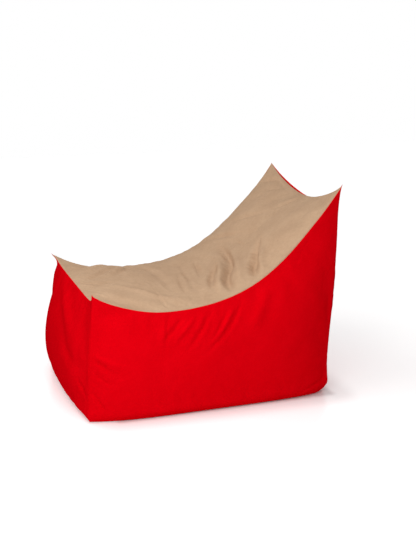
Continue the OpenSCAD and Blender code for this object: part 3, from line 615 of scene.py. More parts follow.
def cubicWeights(at, count):
    # Catmull-Rom: each new point is a mix of the four old points round it
    k = np.clip(np.floor(at).astype(int), 0, count - 2)
    f = at - k
    parts = (-f / 2 + f ** 2 - f ** 3 / 2, 1 - 2.5 * f ** 2 + 1.5 * f ** 3,
             f / 2 + 2 * f ** 2 - 1.5 * f ** 3, -f ** 2 / 2 + f ** 3 / 2)
    weights, rows = np.zeros((len(at), count)), np.arange(len(at))
    for step, part in enumerate(parts):
        place = k - 1 + step
        low, high = place < 0, place > count - 1
        inside = ~low & ~high
        np.add.at(weights, (rows[inside], place[inside]), part[inside])
        for beyond, edge, nextIn in ((low, 0, 1), (high, count - 1, count - 2)):   # 2 edge - next
            np.add.at(weights, (rows[beyond], edge), 2 * part[beyond])
            np.add.at(weights, (rows[beyond], nextIn), -part[beyond])
    return weights


def resample(grid, rowsAt, colsAt):
    tall = np.tensordot(cubicWeights(rowsAt, grid.shape[0]), grid, (1, 0))
    return np.swapaxes(np.tensordot(tall, cubicWeights(colsAt, grid.shape[1]), (1, 1)), 1, 2)


fineGrid = dict(finer=2, seatFiner=3, besideSeam=np.array([0.0012, 0.003]))


def fineSteps(first, last, length, edges=(True, True), finer=fineGrid["finer"]):
    # Places along a grid, finer times closer, with extra ones beside each sewn edge
    at = np.linspace(first, last, int(round((last - first) * finer)) + 1)
    cells = fineGrid["besideSeam"] / (length / (last - first))
    extra = [side for side, sewn in ((first + cells, edges[0]), (last - cells, edges[1])) if sewn]
    return np.unique(np.round(np.concatenate([at, *extra]), 6))


def arcLengths(grid):
    # Lengths along the columns' and the rows' own curves, from the middle, as cloth coordinates
    alongU = np.linalg.norm(np.diff(grid, axis=1), axis=2)
    alongV = np.linalg.norm(np.diff(grid, axis=0), axis=2)
    u = np.concatenate([np.zeros((grid.shape[0], 1)), np.cumsum(alongU, 1)], 1)
    v = np.concatenate([np.zeros((1, grid.shape[1])), np.cumsum(alongV, 0)], 0)
    return u - u[:, -1:] / 2, v - v[-1:] / 2


def edgeDistance(grid, seams):
    # Distance along the cloth to the nearest sewn edge, for edges named left right bottom top
    u, v = arcLengths(grid)
    away = np.full(grid.shape[:2], 1e9)
    for edge, distance in (("left", u - u[:, :1]), ("right", u[:, -1:] - u),
                           ("bottom", v - v[:1]), ("top", v[-1:] - v)):
        if edge in seams:
            away = np.minimum(away, distance)
    return away


def meshObject(name, points, quads, uvs, material):
    mesh = bpy.data.meshes.new(name)
    corners = quads.astype(np.int32).ravel()
    mesh.vertices.add(len(points))
    mesh.loops.add(len(corners))
    mesh.polygons.add(len(quads))
    mesh.vertices.foreach_set("co", points.astype(np.float32).ravel())
    mesh.loops.foreach_set("vertex_index", corners)
    mesh.polygons.foreach_set("loop_start", np.arange(len(quads), dtype=np.int32) * quads.shape[1])
    layer = mesh.uv_layers.new(name="cloth")
    layer.data.foreach_set("uv", uvs[corners].astype(np.float32).ravel())
    mesh.materials.append(material)
    mesh.polygons.foreach_set("use_smooth", np.full(len(quads), True))
    mesh.update(calc_edges=True)
    mesh.validate()
    item = bpy.data.objects.new(name, mesh)
    scene.collection.objects.link(item)
    return item


def sheetObject(name, outer, inner, turn, material):
    # Two grids of points joined round their rim into one closed sheet
    rows, cols = outer.shape[:2]
    numbers = np.arange(rows * cols).reshape(rows, cols)
    rim = np.concatenate([numbers[0, :-1], numbers[:-1, -1], numbers[-1, :0:-1], numbers[:0:-1, 0]])
    after, n = np.roll(rim, -1), rows * cols
    band = np.stack([rim, rim + n, after + n, after], 1)
    quads = np.concatenate([gridQuads(numbers, turn), gridQuads(numbers + n, not turn),
                            band[:, ::-1] if turn else band])
    u, v = arcLengths(outer)
    uvs = np.stack([u, v], -1).reshape(-1, 2)
    points = np.concatenate([outer.reshape(-1, 3), inner.reshape(-1, 3)])
    return meshObject(name, points, quads, np.concatenate([uvs, uvs]), material)


# Folds

# Folds pressed or pulled into a panel: three (u, v) places of its line, its width and height
# in metres. A fold is height (1.6 exp(-(distance / width)^2) - 0.6 exp(-(distance / 2 width)^2)),
# a furrow between low banks or a ridge between shallow dips, fading to both ends.
folds = dict(
    seat=[
        # furrows and ridges that stand across the bend, where the seat folds up into the back
        ((0.647, 0.762), (0.820, 0.642), (0.960, 0.590), 0.018, -0.0230),
        ((0.328, 0.642), (0.552, 0.640), (0.753, 0.555), 0.017, -0.0170),
        ((0.647, 0.593), (0.835, 0.492), (0.958, 0.493), 0.018, -0.0185),
        ((0.550, 0.548), (0.715, 0.455), (0.905, 0.438), 0.014, -0.0120),
        ((0.480, 0.397), (0.675, 0.360), (0.830, 0.353), 0.010, -0.0055),
        ((0.312, 0.500), (0.425, 0.492), (0.608, 0.457), 0.011, -0.0075),
        ((0.390, 0.590), (0.670, 0.553), (0.885, 0.463), 0.016, 0.0095),
        ((0.610, 0.650), (0.848, 0.578), (0.950, 0.527), 0.020, 0.0105),
        ((0.800, 0.730), (0.890, 0.665), (0.963, 0.622), 0.017, 0.0120),
        ((0.40, 0.43), (0.60, 0.41), (0.80, 0.385), 0.012, -0.0040),
        # creases that run to the left front horn
        ((0.27, 0.02), (0.16, 0.08), (0.06, 0.17), 0.014, -0.0085),
        ((0.47, 0.01), (0.23, 0.09), (0.07, 0.19), 0.015, 0.0055),
        ((0.54, 0.03), (0.30, 0.13), (0.10, 0.24), 0.015, -0.0090),
        ((0.40, 0.15), (0.24, 0.23), (0.05, 0.33), 0.018, -0.0085),
        ((0.67, 0.03), (0.55, 0.10), (0.47, 0.18), 0.013, -0.0035),
        ((0.50, 0.06), (0.77, 0.19), (0.95, 0.36), 0.022, 0.0060),
        # faint creases across the back
        ((0.03, 0.93), (0.09, 0.965), (0.18, 0.985), 0.010, -0.0045),
        ((0.19, 0.76), (0.30, 0.83), (0.41, 0.88), 0.012, -0.0045),
        ((0.05, 0.58), (0.17, 0.66), (0.40, 0.76), 0.014, -0.0080),
        ((0.42, 0.90), (0.49, 0.95), (0.53, 0.99), 0.009, -0.0035),
        ((0.40, 0.72), (0.51, 0.70), (0.54, 0.75), 0.008, -0.0030),
    ],
    rightSide=[
        # streaks that hang from the seam under the lowest part of the seat
        ((0.315, 0.93), (0.29, 0.82), (0.26, 0.74), 0.008, -0.0058),
        ((0.40, 0.94), (0.375, 0.79), (0.34, 0.65), 0.009, -0.0058),
        ((0.51, 0.91), (0.49, 0.75), (0.40, 0.59), 0.009, -0.0054),
        ((0.455, 0.90), (0.44, 0.78), (0.41, 0.68), 0.006, -0.0031),
        ((0.262, 0.94), (0.258, 0.84), (0.250, 0.73), 0.013, 0.0036),
        ((0.35, 0.93), (0.325, 0.82), (0.29, 0.71), 0.009, 0.0051),
        ((0.48, 0.90), (0.463, 0.80), (0.44, 0.71), 0.008, 0.0044),
        ((0.63, 0.90), (0.605, 0.77), (0.57, 0.66), 0.022, 0.0061),
        # small dents beside the front seam, and one at the back corner
        ((0.03, 0.93), (0.05, 0.91), (0.075, 0.88), 0.007, -0.0037),
        ((0.015, 0.51), (0.055, 0.48), (0.11, 0.42), 0.009, -0.0051),
        ((0.02, 0.54), (0.06, 0.53), (0.13, 0.50), 0.010, 0.0044),
        ((0.02, 0.40), (0.05, 0.37), (0.09, 0.34), 0.007, -0.0037),
        ((0.01, 0.26), (0.037, 0.19), (0.06, 0.11), 0.008, -0.0048),
        ((0.86, 0.05), (0.92, 0.07), (0.985, 0.08), 0.008, -0.0061),
    ],
    leftSide=[
        ((0.30, 0.93), (0.28, 0.81), (0.25, 0.72), 0.009, -0.0051),
        ((0.42, 0.92), (0.40, 0.77), (0.35, 0.62), 0.009, -0.0058),
        ((0.36, 0.92), (0.34, 0.80), (0.31, 0.70), 0.010, 0.0051),
        ((0.03, 0.47), (0.07, 0.44), (0.12, 0.39), 0.009, -0.0044),
    ],
    front=[
        ((0.33, 0.93), (0.60, 0.80), (0.80, 0.68), 0.030, 0.0085),
        ((0.65, 0.62), (0.78, 0.54), (0.93, 0.40), 0.026, -0.0050),
        ((0.90, 0.36), (0.955, 0.26), (0.985, 0.17), 0.008, -0.0044),
        ((0.12, 0.60), (0.16, 0.42), (0.14, 0.25), 0.018, -0.0051),
    ],
    back=[
        ((0.16, 0.62), (0.24, 0.52), (0.36, 0.46), 0.014, -0.0051),
        ((0.84, 0.66), (0.77, 0.55), (0.66, 0.48), 0.014, -0.0051),
        ((0.35, 0.93), (0.40, 0.85), (0.42, 0.76), 0.010, -0.0044),
    ],
    base=[])


def foldHeights(name, uAt, vAt, grid, steps=24):
    # Sum of the folds' heights over a panel. A fold's line is a quadratic Bezier curve through
    # steps + 1 points of the cloth, and it fades to its ends as sin(pi t) ^ 0.7
    height = np.zeros(grid.shape[:2])
    flat = grid.reshape(-1, 3)
    for start, middle, end, width, rise in folds[name]:
        if not vAt[0] <= middle[1] <= vAt[-1]:      # it lies on the wall's other panel
            continue
        t = np.linspace(0, 1, steps + 1)[:, None]
        line = np.array(start) * (1 - t) ** 2 + 2 * np.array(middle) * t * (1 - t) + np.array(end) * t ** 2
        rows = np.interp(line[:, 1], vAt, np.arange(len(vAt)))
        cols = np.interp(line[:, 0], uAt, np.arange(len(uAt)))
        way = grid[np.round(rows).astype(int), np.round(cols).astype(int)]
        away = np.linalg.norm(flat[:, None] - way[None], axis=2)
        nearest = away.argmin(1)
        fade = np.sin(np.pi * np.clip(nearest / steps, 0.02, 0.98)) ** 0.7
        near = (away.min(1) / width) ** 2
        height += (rise * fade * (1.6 * np.exp(-near) - 0.6 * np.exp(-near / 4))).reshape(grid.shape[:2])
    return height


# Cover panels

coverPiece = dict(rollDepth=0.0024, rollReach=0.0055, floorRoll=0.0110, floorReach=0.028,
                  floorBulge=0.0035, bulgeAt=0.034, bulgeReach=0.022, sewnFlat=0.012,
                  puckerHeight=0.0005, puckerReach=0.030,
                  ripples=((0.047, 1.3, 1.0), (0.031, 0.4, 0.8), (0.021, 2.1, 0.6)),
                  hoodRise=0.0095, hoodAt=0.006, hoodFrom=0.01, hoodTo=0.52, hoodWay=(0, 0.25, 0.97))


def puckers(u, v, away):
    # Small ripples beside the seams: the mean of three sines, each with its length, start and
    # share, fading as exp(-distance / reach)
    ripple = sum(share * np.sin((u + v) * 2 * np.pi / length + start)
                 for length, start, share in coverPiece["ripples"])
    ripple /= sum(share for _, _, share in coverPiece["ripples"])
    return coverPiece["puckerHeight"] * ripple * np.exp(-away / coverPiece["puckerReach"])


def topHood(u, away):
    # The back's cloth stands up behind the top seam on its left half, by
    # rise sin(pi t)^0.6 (away / at) exp(1 - away / at)
    t = np.clip((u - coverPiece["hoodFrom"]) / (coverPiece["hoodTo"] - coverPiece["hoodFrom"]), 0, 1)
    reach = away / coverPiece["hoodAt"]
    return coverPiece["hoodRise"] * np.sin(np.pi * t)[None] ** 0.6 * reach * np.exp(1 - reach)


def clothHeights(gridName, uShare, vShare, points, seams):
    # Height of a panel's outer face over the skin: folds and puckers, rolled in at its seams
    u, v = arcLengths(points)
    away = edgeDistance(points, seams)
    height = foldHeights(gridName, uShare, vShare, points) + puckers(u, v, away)
    height *= np.clip(away / coverPiece["sewnFlat"], 0, 1) * (gridName != "base")
    height -= coverPiece["rollDepth"] * np.clip(1 - away / coverPiece["rollReach"], 0, 1) ** 2
    if gridName != "seat":
        foot = 0 if "bottom" in seams else points[0, :, 2].min()
        floorAway = away if gridName == "base" else v - v[:1] + foot
        height -= coverPiece["floorRoll"] * np.clip(1 - floorAway / coverPiece["floorReach"], 0, 1) ** 2
        if gridName != "base":
            bulge = np.exp(-((floorAway - coverPiece["bulgeAt"]) / coverPiece["bulgeReach"]) ** 2)
            height += coverPiece["floorBulge"] * bulge * np.clip(floorAway / coverPiece["bulgeAt"], 0, 1)
    return height, u, v


def shareAt(gridName, colsAt, rowsAt):
    lengthwise = deepAt if gridName in ("seat", "base") else upAt
    crosswise = deepAt if gridName in ("rightSide", "leftSide") else acrossAt
    return (np.interp(colsAt, np.arange(len(crosswise)), crosswise),
            np.interp(rowsAt, np.arange(len(lengthwise)), lengthwise))


def coverPanel(piece, gridName, rowSpan, seams, material, extraRows=(), hemEdge=None):
    place = places[gridName]
    grid, normals = skinPoints[place], skinNormals[place]
    lastCol = grid.shape[1] - 1
    first, last = rowSpan
    u, v = arcLengths(grid)
    length = v[int(last), lastCol // 2] - v[int(first), lastCol // 2]
    width = (u[:, -1] - u[:, 0]).mean()
    finer = fineGrid["seatFiner" if gridName == "seat" else "finer"]
    rowsAt = fineSteps(first, last, length, ("bottom" in seams, "top" in seams), finer)
    rowsAt = np.unique(np.concatenate([rowsAt, extraRows]))
    colsAt = fineSteps(0, lastCol, width)
    points = resample(grid, rowsAt, colsAt)
    ways = resample(normals, rowsAt, colsAt)
    ways /= np.linalg.norm(ways, axis=2, keepdims=True)
    uShare, vShare = shareAt(gridName, colsAt, rowsAt)
    height, u, v = clothHeights(gridName, uShare, vShare, points, seams)
    fromHem = v - v[:1] if hemEdge == "bottom" else v[-1:] - v
    if hemEdge:
        height += hemHeights(u, fromHem)
    outer = points + ways * height[..., None]
    if gridName == "back" and "top" in seams:
        outer += topHood(uShare, v[-1:] - v)[..., None] * np.array(coverPiece["hoodWay"])
    if hemEdge:
        outer[..., 2] += hemMeets(points, fromHem, hemEdge)
    outer[..., 2] = np.maximum(outer[..., 2], 0)
    inner = outer - ways * bag["clothThickness"]
    inner[..., 2] = np.maximum(inner[..., 2], bag["clothThickness"] * (gridName == "base"))
    return sheetObject(piece, outer, inner, turned[gridName], material), outer


hem = dict(stepReach=0.7e-3, foldDrop=0.7e-3, foldReach=0.9e-3, furrowDepth=0.4e-3, furrowReach=0.8e-3,
           meetAt=0.012, meetReach=0.012, meetFade=0.020, meetGap=0.3e-3)


def hemMeets(points, away, hemEdge):
    # Over the ends of the zip's tapes the two hems run together, by half the gap times
    # ease((meetAt - from the seam) / meetReach + 1) (1 - away / meetFade)
    fromSeam = halfWidth - np.abs(points[..., 0])
    shut = ease(np.clip(1 + (hem["meetAt"] - fromSeam) / hem["meetReach"], 0, 1))
    shut *= np.clip(1 - away / hem["meetFade"], 0, 1)
    return (zipper["hemGap"] / 2 - hem["meetGap"]) * shut * (-1 if hemEdge == "bottom" else 1)


def hemHeights(u, away):
    # A turned hem: one more cloth thickness out to the hem's height, a rounded fold at its
    # edge, and a furrow under the stitches, deeper where each stitch ends
    step = bag["clothThickness"] / 2 * (1 - np.tanh((away - zipper["hemHeight"]) / hem["stepReach"]))
    fold = -hem["foldDrop"] * np.clip(1 - away / hem["foldReach"], 0, 1) ** 2
    dents = 0.75 + 0.25 * np.cos(2 * np.pi * u / zipper["stitchPitch"])
    furrow = -hem["furrowDepth"] * dents * np.exp(-((away - zipper["stitchIn"]) / hem["furrowReach"]) ** 2)
    return step + fold + furrow


allSeams = ("left", "right", "bottom", "top")


def deepest(height):
    # The least of each point's own height and those beside it, for the wider layers below
    wide = np.pad(height, 1, mode="edge")
    rows, cols = height.shape
    return np.minimum.reduce([wide[i:i + rows, j:j + cols] for i in range(3) for j in range(3)])


# What lies under the cover follows its furrows and its seams, not its ridges. Beside the floor
# the furrows aren't widened, so that the layers don't come out under the cover.
nearFloor = 0.04
layerPoints = skinPoints.copy()
for gridName, place in places.items():
    grid = skinPoints[place]
    uShare, vShare = shareAt(gridName, np.arange(grid.shape[1]), np.arange(grid.shape[0]))
    height, _, _ = clothHeights(gridName, uShare, vShare, grid, allSeams)
    furrow = np.minimum(height, 0)
    furrow = np.where(restPoints[place][..., 2] < nearFloor, furrow, deepest(furrow))
    layerPoints[place] = grid + skinNormals[place] * furrow[..., None]

# The hems' edges up the back, and the rows that each hem's fold, stitches and step need
hemLowAt = (zipper["height"] - zipper["hemGap"] / 2) / bag["backHeight"]
hemHighAt = (zipper["height"] + zipper["hemGap"] / 2) / bag["backHeight"]
hemSteps = np.array([0.4, 0.9, 1.6, 2.2, 3.0, 3.8, 4.6, 8.8, 9.6, 10.0, 10.4, 11.2])
hemSteps *= 1e-3 / bag["backHeight"]


def rowOf(v):
    return np.interp(v, upAt, np.arange(len(upAt)))


wholeWall, wholeDeep = (0, len(upAt) - 1), (0, skin["deep"])
panels = [
    # piece, grid, rows, sewn edges, material, slot, solid, rows beside a hem, the hem's edge
    ("seatPanel", "seat", wholeDeep, allSeams, beigeWoven, "beige_cloth", "seat_panel", (), None),
    ("rightSidePanel", "rightSide", wholeWall, allSeams, redWoven, "red_cloth", "right_side_panel", (), None),
    ("leftSidePanel", "leftSide", wholeWall, allSeams, redWoven, "red_cloth", "left_side_panel", (), None),
    ("frontPanel", "front", wholeWall, allSeams, redWoven, "red_cloth", "front_panel", (), None),
    ("backPanelUpper", "back", (rowOf(hemHighAt), wholeWall[1]), ("left", "right", "top"), redWoven,
     "red_cloth", "back_panel_upper", rowOf(hemHighAt + hemSteps), "bottom"),
    ("backPanelLower", "back", (0, rowOf(hemLowAt)), ("left", "right", "bottom"), redWoven,
     "red_cloth", "back_panel_lower", rowOf(hemLowAt - hemSteps), "top"),
    ("basePanel", "base", wholeDeep, allSeams, redWoven, "red_cloth", "base_panel", (), None),
]


def clothSize(outer):
    # Width and length along the cloth, and the area of its grid
    u, v = arcLengths(outer)
    a, b = np.diff(outer, axis=1)[:-1], np.diff(outer, axis=0)[:, :-1]
    return u.max() - u.min(), v.max() - v.min(), np.linalg.norm(np.cross(a, b), axis=2).sum()


def setPiece(item, body, slotName, *nodes):
    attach(item, body)
    if nodes:
        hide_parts(*nodes)


# Each sheet as cut, between its seams: width, length and area in metres, and what bears it
cutSheets = dict(
    seatPanel=(0.699, 1.147, 0.724, "linerWrap"),
    rightSidePanel=(1.138, 0.799, 0.471, "linerRightSide"),
    leftSidePanel=(1.147, 0.805, 0.468, "linerLeftSide"),
    frontPanel=(0.697, 0.487, 0.314, "linerWrap"),
    backPanelUpper=(0.688, 0.672, 0.413, "linerWrap"),
    backPanelLower=(0.688, 0.135, 0.089, "linerWrap"),
    basePanel=(0.742, 0.980, 0.704, "linerWrap"),
    linerRightSide=(1.097, 0.770, 0.456, "beadFill"),
    linerLeftSide=(1.101, 0.783, 0.456, "beadFill"),
    linerWrap=(0.725, 3.313, 2.180, "beadFill"),
    linerClosureHook=(0.512, 0.025, 0.0128, "linerWrap"),
    linerClosureLoop=(0.512, 0.025, 0.0128, "linerWrap"))


def declareSheet(item, outer):
    width, length, area, bearer = cutSheets[item.name]
    print(item.name, "flat %.3f x %.3f m, area %.4f m2" % clothSize(outer))


for piece, gridName, rows, seams, material, slotName, node, extraRows, hemEdge in panels:
    panel, outer = coverPanel(piece, gridName, rows, seams, material, extraRows, hemEdge)
    setPiece(panel, "cover", slotName, node)
    declareSheet(panel, outer)
print("cover panels made")

# Threads

threadPiece = dict(size=0.9e-3, stitch=4e-3, wave=0.2e-3, behindSeam=1.6e-3, overFloor=1.4e-3,
                   spacing=1.3e-3, ring=6, roundUv=3e-3)


def tubeParts(path, sides, radii, ring, closed=False):
    # Rings round a path: path + r (cos(a) side + sin(a) run x side); path is (..., n, 3),
    # and any leading axis counts separate tubes
    if closed:
        run = np.roll(path, -1, -2) - np.roll(path, 1, -2)
    else:
        run = np.gradient(path, axis=-2)
    run /= np.linalg.norm(run, axis=-1, keepdims=True)
    side = sides - (sides * run).sum(-1, keepdims=True) * run
    side /= np.linalg.norm(side, axis=-1, keepdims=True)
    third = np.cross(run, side)
    angle = np.arange(ring) * 2 * np.pi / ring
    spokes = (np.cos(angle)[:, None] * side[..., None, :] + np.sin(angle)[:, None] * third[..., None, :])
    points = path[..., None, :] + np.asarray(radii)[..., None, None] * spokes
    tubes = int(np.prod(path.shape[:-2])) if path.ndim > 2 else 1
    n = path.shape[-2]
    numbers = np.arange(tubes * n * ring).reshape(tubes, n, ring)
    here = numbers if closed else numbers[:, :-1]
    there = np.roll(numbers, -1, 1) if closed else numbers[:, 1:]
    quads = [np.stack([here, np.roll(here, -1, 2), np.roll(there, -1, 2), there], -1).reshape(-1, 4)]
    if not closed:      # each end is closed by quads that fan over its ring
        for end, order in ((numbers[:, 0], (0, 3, 2, 1)), (numbers[:, -1], (0, 1, 2, 3))):
            for k in range(1, ring - 2, 2):
                quads.append(np.stack([end[:, 0], end[:, k], end[:, k + 1], end[:, k + 2]], -1)[:, order])
    quads = np.concatenate(quads)
    lengths = np.concatenate([np.zeros((*path.shape[:-2], 1)),
                              np.cumsum(np.linalg.norm(np.diff(path, axis=-2), axis=-1), -1)], -1)
    around = angle / (2 * np.pi) * threadPiece["roundUv"]
    uvs = np.stack(np.broadcast_arrays(lengths[..., None], around), -1)
    return points.reshape(-1, 3), quads, uvs.reshape(-1, 2)


def evenPath(path, ways, spacing, closed):
    # The same line with points at even steps of length
    if closed:
        path, ways = np.concatenate([path, path[:1]]), np.concatenate([ways, ways[:1]])
    lengths = np.concatenate([[0], np.cumsum(np.linalg.norm(np.diff(path, axis=0), axis=1))])
    at = np.linspace(0, lengths[-1], int(lengths[-1] / spacing) + 1)[:-1 if closed else None]
    path, ways = (np.stack([np.interp(at, lengths, values[:, k]) for k in range(3)], 1)
                  for values in (path, ways))
    return path, ways, at


def seamThread(name, path, ways, closed, material, slotName, node):
    # A lockstitch behind the seam, which rises and falls once a stitch
    path, ways, at = evenPath(path, ways, threadPiece["spacing"], closed)
    wave = threadPiece["wave"] * np.cos(2 * np.pi * at / threadPiece["stitch"])
    centre = path - ways * (threadPiece["behindSeam"] - wave)[:, None]
    centre[:, 2] = np.maximum(centre[:, 2], threadPiece["overFloor"])
    points, quads, uvs = tubeParts(centre, ways, np.full(len(centre), threadPiece["size"] / 2),
                                   threadPiece["ring"], closed)
    setPiece(meshObject(name, points, quads, uvs, material), "cover", slotName, node)


for side in ("right", "left"):
    grid = places[side + "Side"]
    loop = np.concatenate([grid[:-1, 0], grid[-1, :-1], grid[:0:-1, -1], grid[0, :0:-1]])
    seamThread("seamThread" + side.capitalize(), layerPoints[loop], skinNormals[loop], True, redThread,
               "red_thread", "seam_thread_" + side)
for name, gridName, row, material, slotName, node in (
        ("seamThreadSeatFront", "seat", 0, beigeThread, "beige_thread", "seam_thread_seat_front"),
        ("seamThreadSeatBack", "seat", -1, beigeThread, "beige_thread", "seam_thread_seat_back"),
        ("seamThreadBaseFront", "front", 0, redThread, "red_thread", "seam_thread_base_front"),
        ("seamThreadBaseBack", "back", 0, redThread, "red_thread", "seam_thread_base_back")):
    line = places[gridName][row, 1:-1]
    seamThread(name, layerPoints[line], skinNormals[line], False, material, slotName, node)
print("seam threads made")

# Zip


def zipPoint(along, radius, height):
    # A point round the zip's upright axis: along is the arc's length from the middle of the back
    turn = along / zipRadius
    return join(radius * np.sin(turn), zipCentreY + radius * np.cos(turn), height)


# The tapes' outer face lies under the turned hem, and a straight facet of the tape lies up to
# facetGap inside that arc. The coils stand on the tapes.
underHem, facetGap, coilOverTape = 0.3e-3, 0.543e-3, 0.1e-3
tapeOuter = zipRadius - bag["clothThickness"] - underHem
coilRadius = tapeOuter - facetGap + coilOverTape + zipper["coilSize"] / 2


def zipCoil(name, up, node, perLoop=9, ring=5, head=1.12):
    # A spiral: the loop's angle is 2 pi along / pitch, each loop a circle about the coil's
    # line, head times taller towards the other coil, where the two meet
    loops = int(round(2 * zipper["chainHalf"] / zipper["coilPitch"]))
    along = np.linspace(-zipper["chainHalf"], zipper["chainHalf"], loops * perLoop + 1)
    angle = along / zipper["coilPitch"] * 2 * np.pi + (0 if up > 0 else np.pi)
    reach = (zipper["coilSize"] - zipper["coilWire"]) / 2
    radius = coilRadius + reach * np.cos(angle)
    rise = reach * np.sin(angle) * np.where(np.sin(angle) < 0, head, 1.0)
    middle = (zipper["chainGap"] + zipper["coilSize"]) / 2
    path = zipPoint(along, radius, zipper["height"] + up * (middle + rise))
    sides = path - zipPoint(along, coilRadius, zipper["height"] + up * middle)
    points, quads, uvs = tubeParts(path, sides, np.full(len(path), zipper["coilWire"] / 2), ring)
    setPiece(meshObject(name, points, quads, uvs, zipNylon), "cover", "zip_coil", node)


def zipStitches(name, up, node, proud=0.05e-3, dip=0.45e-3):
    # Separate stitches along a hem, each a short thread that dips into the cloth at its ends
    # by dip t^4, and is thinner there
    half = zipRadius * math.asin((halfWidth - zipper["tapeEnd"]) / zipRadius)
    count = int(2 * half / zipper["stitchPitch"])
    middle = (np.arange(count) - (count - 1) / 2) * zipper["stitchPitch"]
    t = np.linspace(-1, 1, 5)
    along = middle[:, None] + t * zipper["stitchLength"] / 2
    radius = zipRadius + bag["clothThickness"] + proud - dip * t ** 4
    height = zipper["height"] + up * (zipper["hemGap"] / 2 + zipper["stitchIn"])
    path = zipPoint(along, radius, height)
    sides = zipPoint(along, radius + 1e-3, height) - path
    thick = zipper["stitchSize"] / 2 * np.array([0.5, 0.95, 1, 0.95, 0.5])
    points, quads, uvs = tubeParts(path, sides, np.broadcast_to(thick, path.shape[:-1]), threadPiece["ring"])
    setPiece(meshObject(name, points, quads, uvs, redThread), "cover", "red_thread", node)


casting = dict(mergeWithin=2e-6, flatWithin=1, sharpFrom=35, segments=2)    # metres, degrees


def bevelledCopy(name, node, body, width):
    # A solid's own shape with its edges rounded, as a casting's are. Its loose triangles are
    # merged first, and flat faces made whole.
    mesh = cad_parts[node].data.copy()
    mesh.name = name
    merged = bmesh.new()
    merged.from_mesh(mesh)
    bmesh.ops.remove_doubles(merged, verts=merged.verts, dist=casting["mergeWithin"])
    bmesh.ops.dissolve_limit(merged, angle_limit=math.radians(casting["flatWithin"]),
                             verts=merged.verts, edges=merged.edges)
    merged.to_mesh(mesh)
    merged.free()
    mesh.materials.clear()
    mesh.materials.append(zipMetal)
    mesh.polygons.foreach_set("use_smooth", np.full(len(mesh.polygons), True))
    item = bpy.data.objects.new(name, mesh)
    scene.collection.objects.link(item)
    edge = item.modifiers.new("rounded edges", "BEVEL")
    edge.width, edge.segments, edge.limit_method = width, casting["segments"], "ANGLE"
    edge.angle_limit = math.radians(casting["sharpFrom"])
    edge.harden_normals = True
    setPiece(item, body, "zip_metal", node)


for make, piece, node in ((zipCoil, "zipCoil", "zip_coil_"), (zipStitches, "zipStitch", "zip_stitch_")):
    make(piece + "Upper", 1, node + "upper")
    make(piece + "Lower", -1, node + "lower")
for piece, node, body, width in (("zipTopStops", "zip_top_stops", "cover", 0.3e-3),
                                 ("zipBottomStop", "zip_bottom_stop", "cover", 0.3e-3),
                                 ("zipSlider", "zip_slider", "slider", 0.22e-3),
                                 ("zipPullTab", "zip_pull_tab", "pull_tab", 0.3e-3)):
    bevelledCopy(piece, node, body, width)
for node in ("zip_tape_upper", "zip_tape_lower"):
    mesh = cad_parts[node].data
    mesh.materials.clear()
    mesh.materials.append(zipTape)
print("zip made")

# Liner and beads

liner = dict(hornShare=0.2, hornReach=0.05, hornRows=6, rowsAboveFlap=0.4, rowsBelowFlap=0.2)
layerGap, sewnGap = 0.3e-3, 0.1e-3
linerRise = bag["clothThickness"] + layerGap
fillRise = linerRise + bag["linerThickness"] + layerGap
flapShift = bag["linerThickness"] + 2 * closure["thickness"] + 3 * sewnGap
closureV = (zipper["height"] + closure["aboveZip"]) / bag["backHeight"]
stripV = closure["height"] / 2 / bag["backHeight"]
flapV = stripV + closure["flapPast"] / bag["backHeight"]


def hornAxes():
    # Each horn's tip and the mean way of the three seams that leave it, hornRows points along
    steps = {0: liner["hornRows"], -1: -1 - liner["hornRows"]}
    for wall, row in (("front", 0), ("back", -1)):
        for col in (0, -1):
            tip = layerPoints[places["seat"][row, col]]
            ends = [places["seat"][steps[row], col], places["seat"][row, steps[col]],
                    places[wall][steps[-1], col]]
            legs = layerPoints[ends] - tip
            legs /= np.linalg.norm(legs, axis=1, keepdims=True)
            yield tip, legs.sum(0) / np.linalg.norm(legs.sum(0))


def insideSkin(depth, rise):
    # The cover's surface moved in along its normals by depth / (share each face sees), and
    # near a horn's tip along the horn by depth / hornShare; the base shrinks by the depth
    way = -skinNormals * (depth / skinShare)[:, None]
    for tip, axis in hornAxes():
        near = np.exp(-(np.linalg.norm(layerPoints - tip, axis=1) / liner["hornReach"]) ** 2)[:, None]
        way = way * (1 - near) + axis * (depth / liner["hornShare"]) * near
    moved = layerPoints + way
    moved[onFloor, :2] = layerPoints[onFloor, :2] * (1 - depth / np.array([halfWidth, halfDepth]))
    moved[onFloor, 2] = layerPoints[onFloor, 2] + rise
    moved[:, 2] = np.maximum(moved[:, 2], rise)
    return moved


def linerSide(name, side, node):
    outer, inner = (insideSkin(bag["linerDepth"] + extra, linerRise + extra)[places[side]]
                    for extra in (0, bag["linerThickness"]))
    item = sheetObject(name, outer, inner, turned[side], linerWoven)
    setPiece(item, "cover", "liner_cloth", node)
    declareSheet(item, outer)


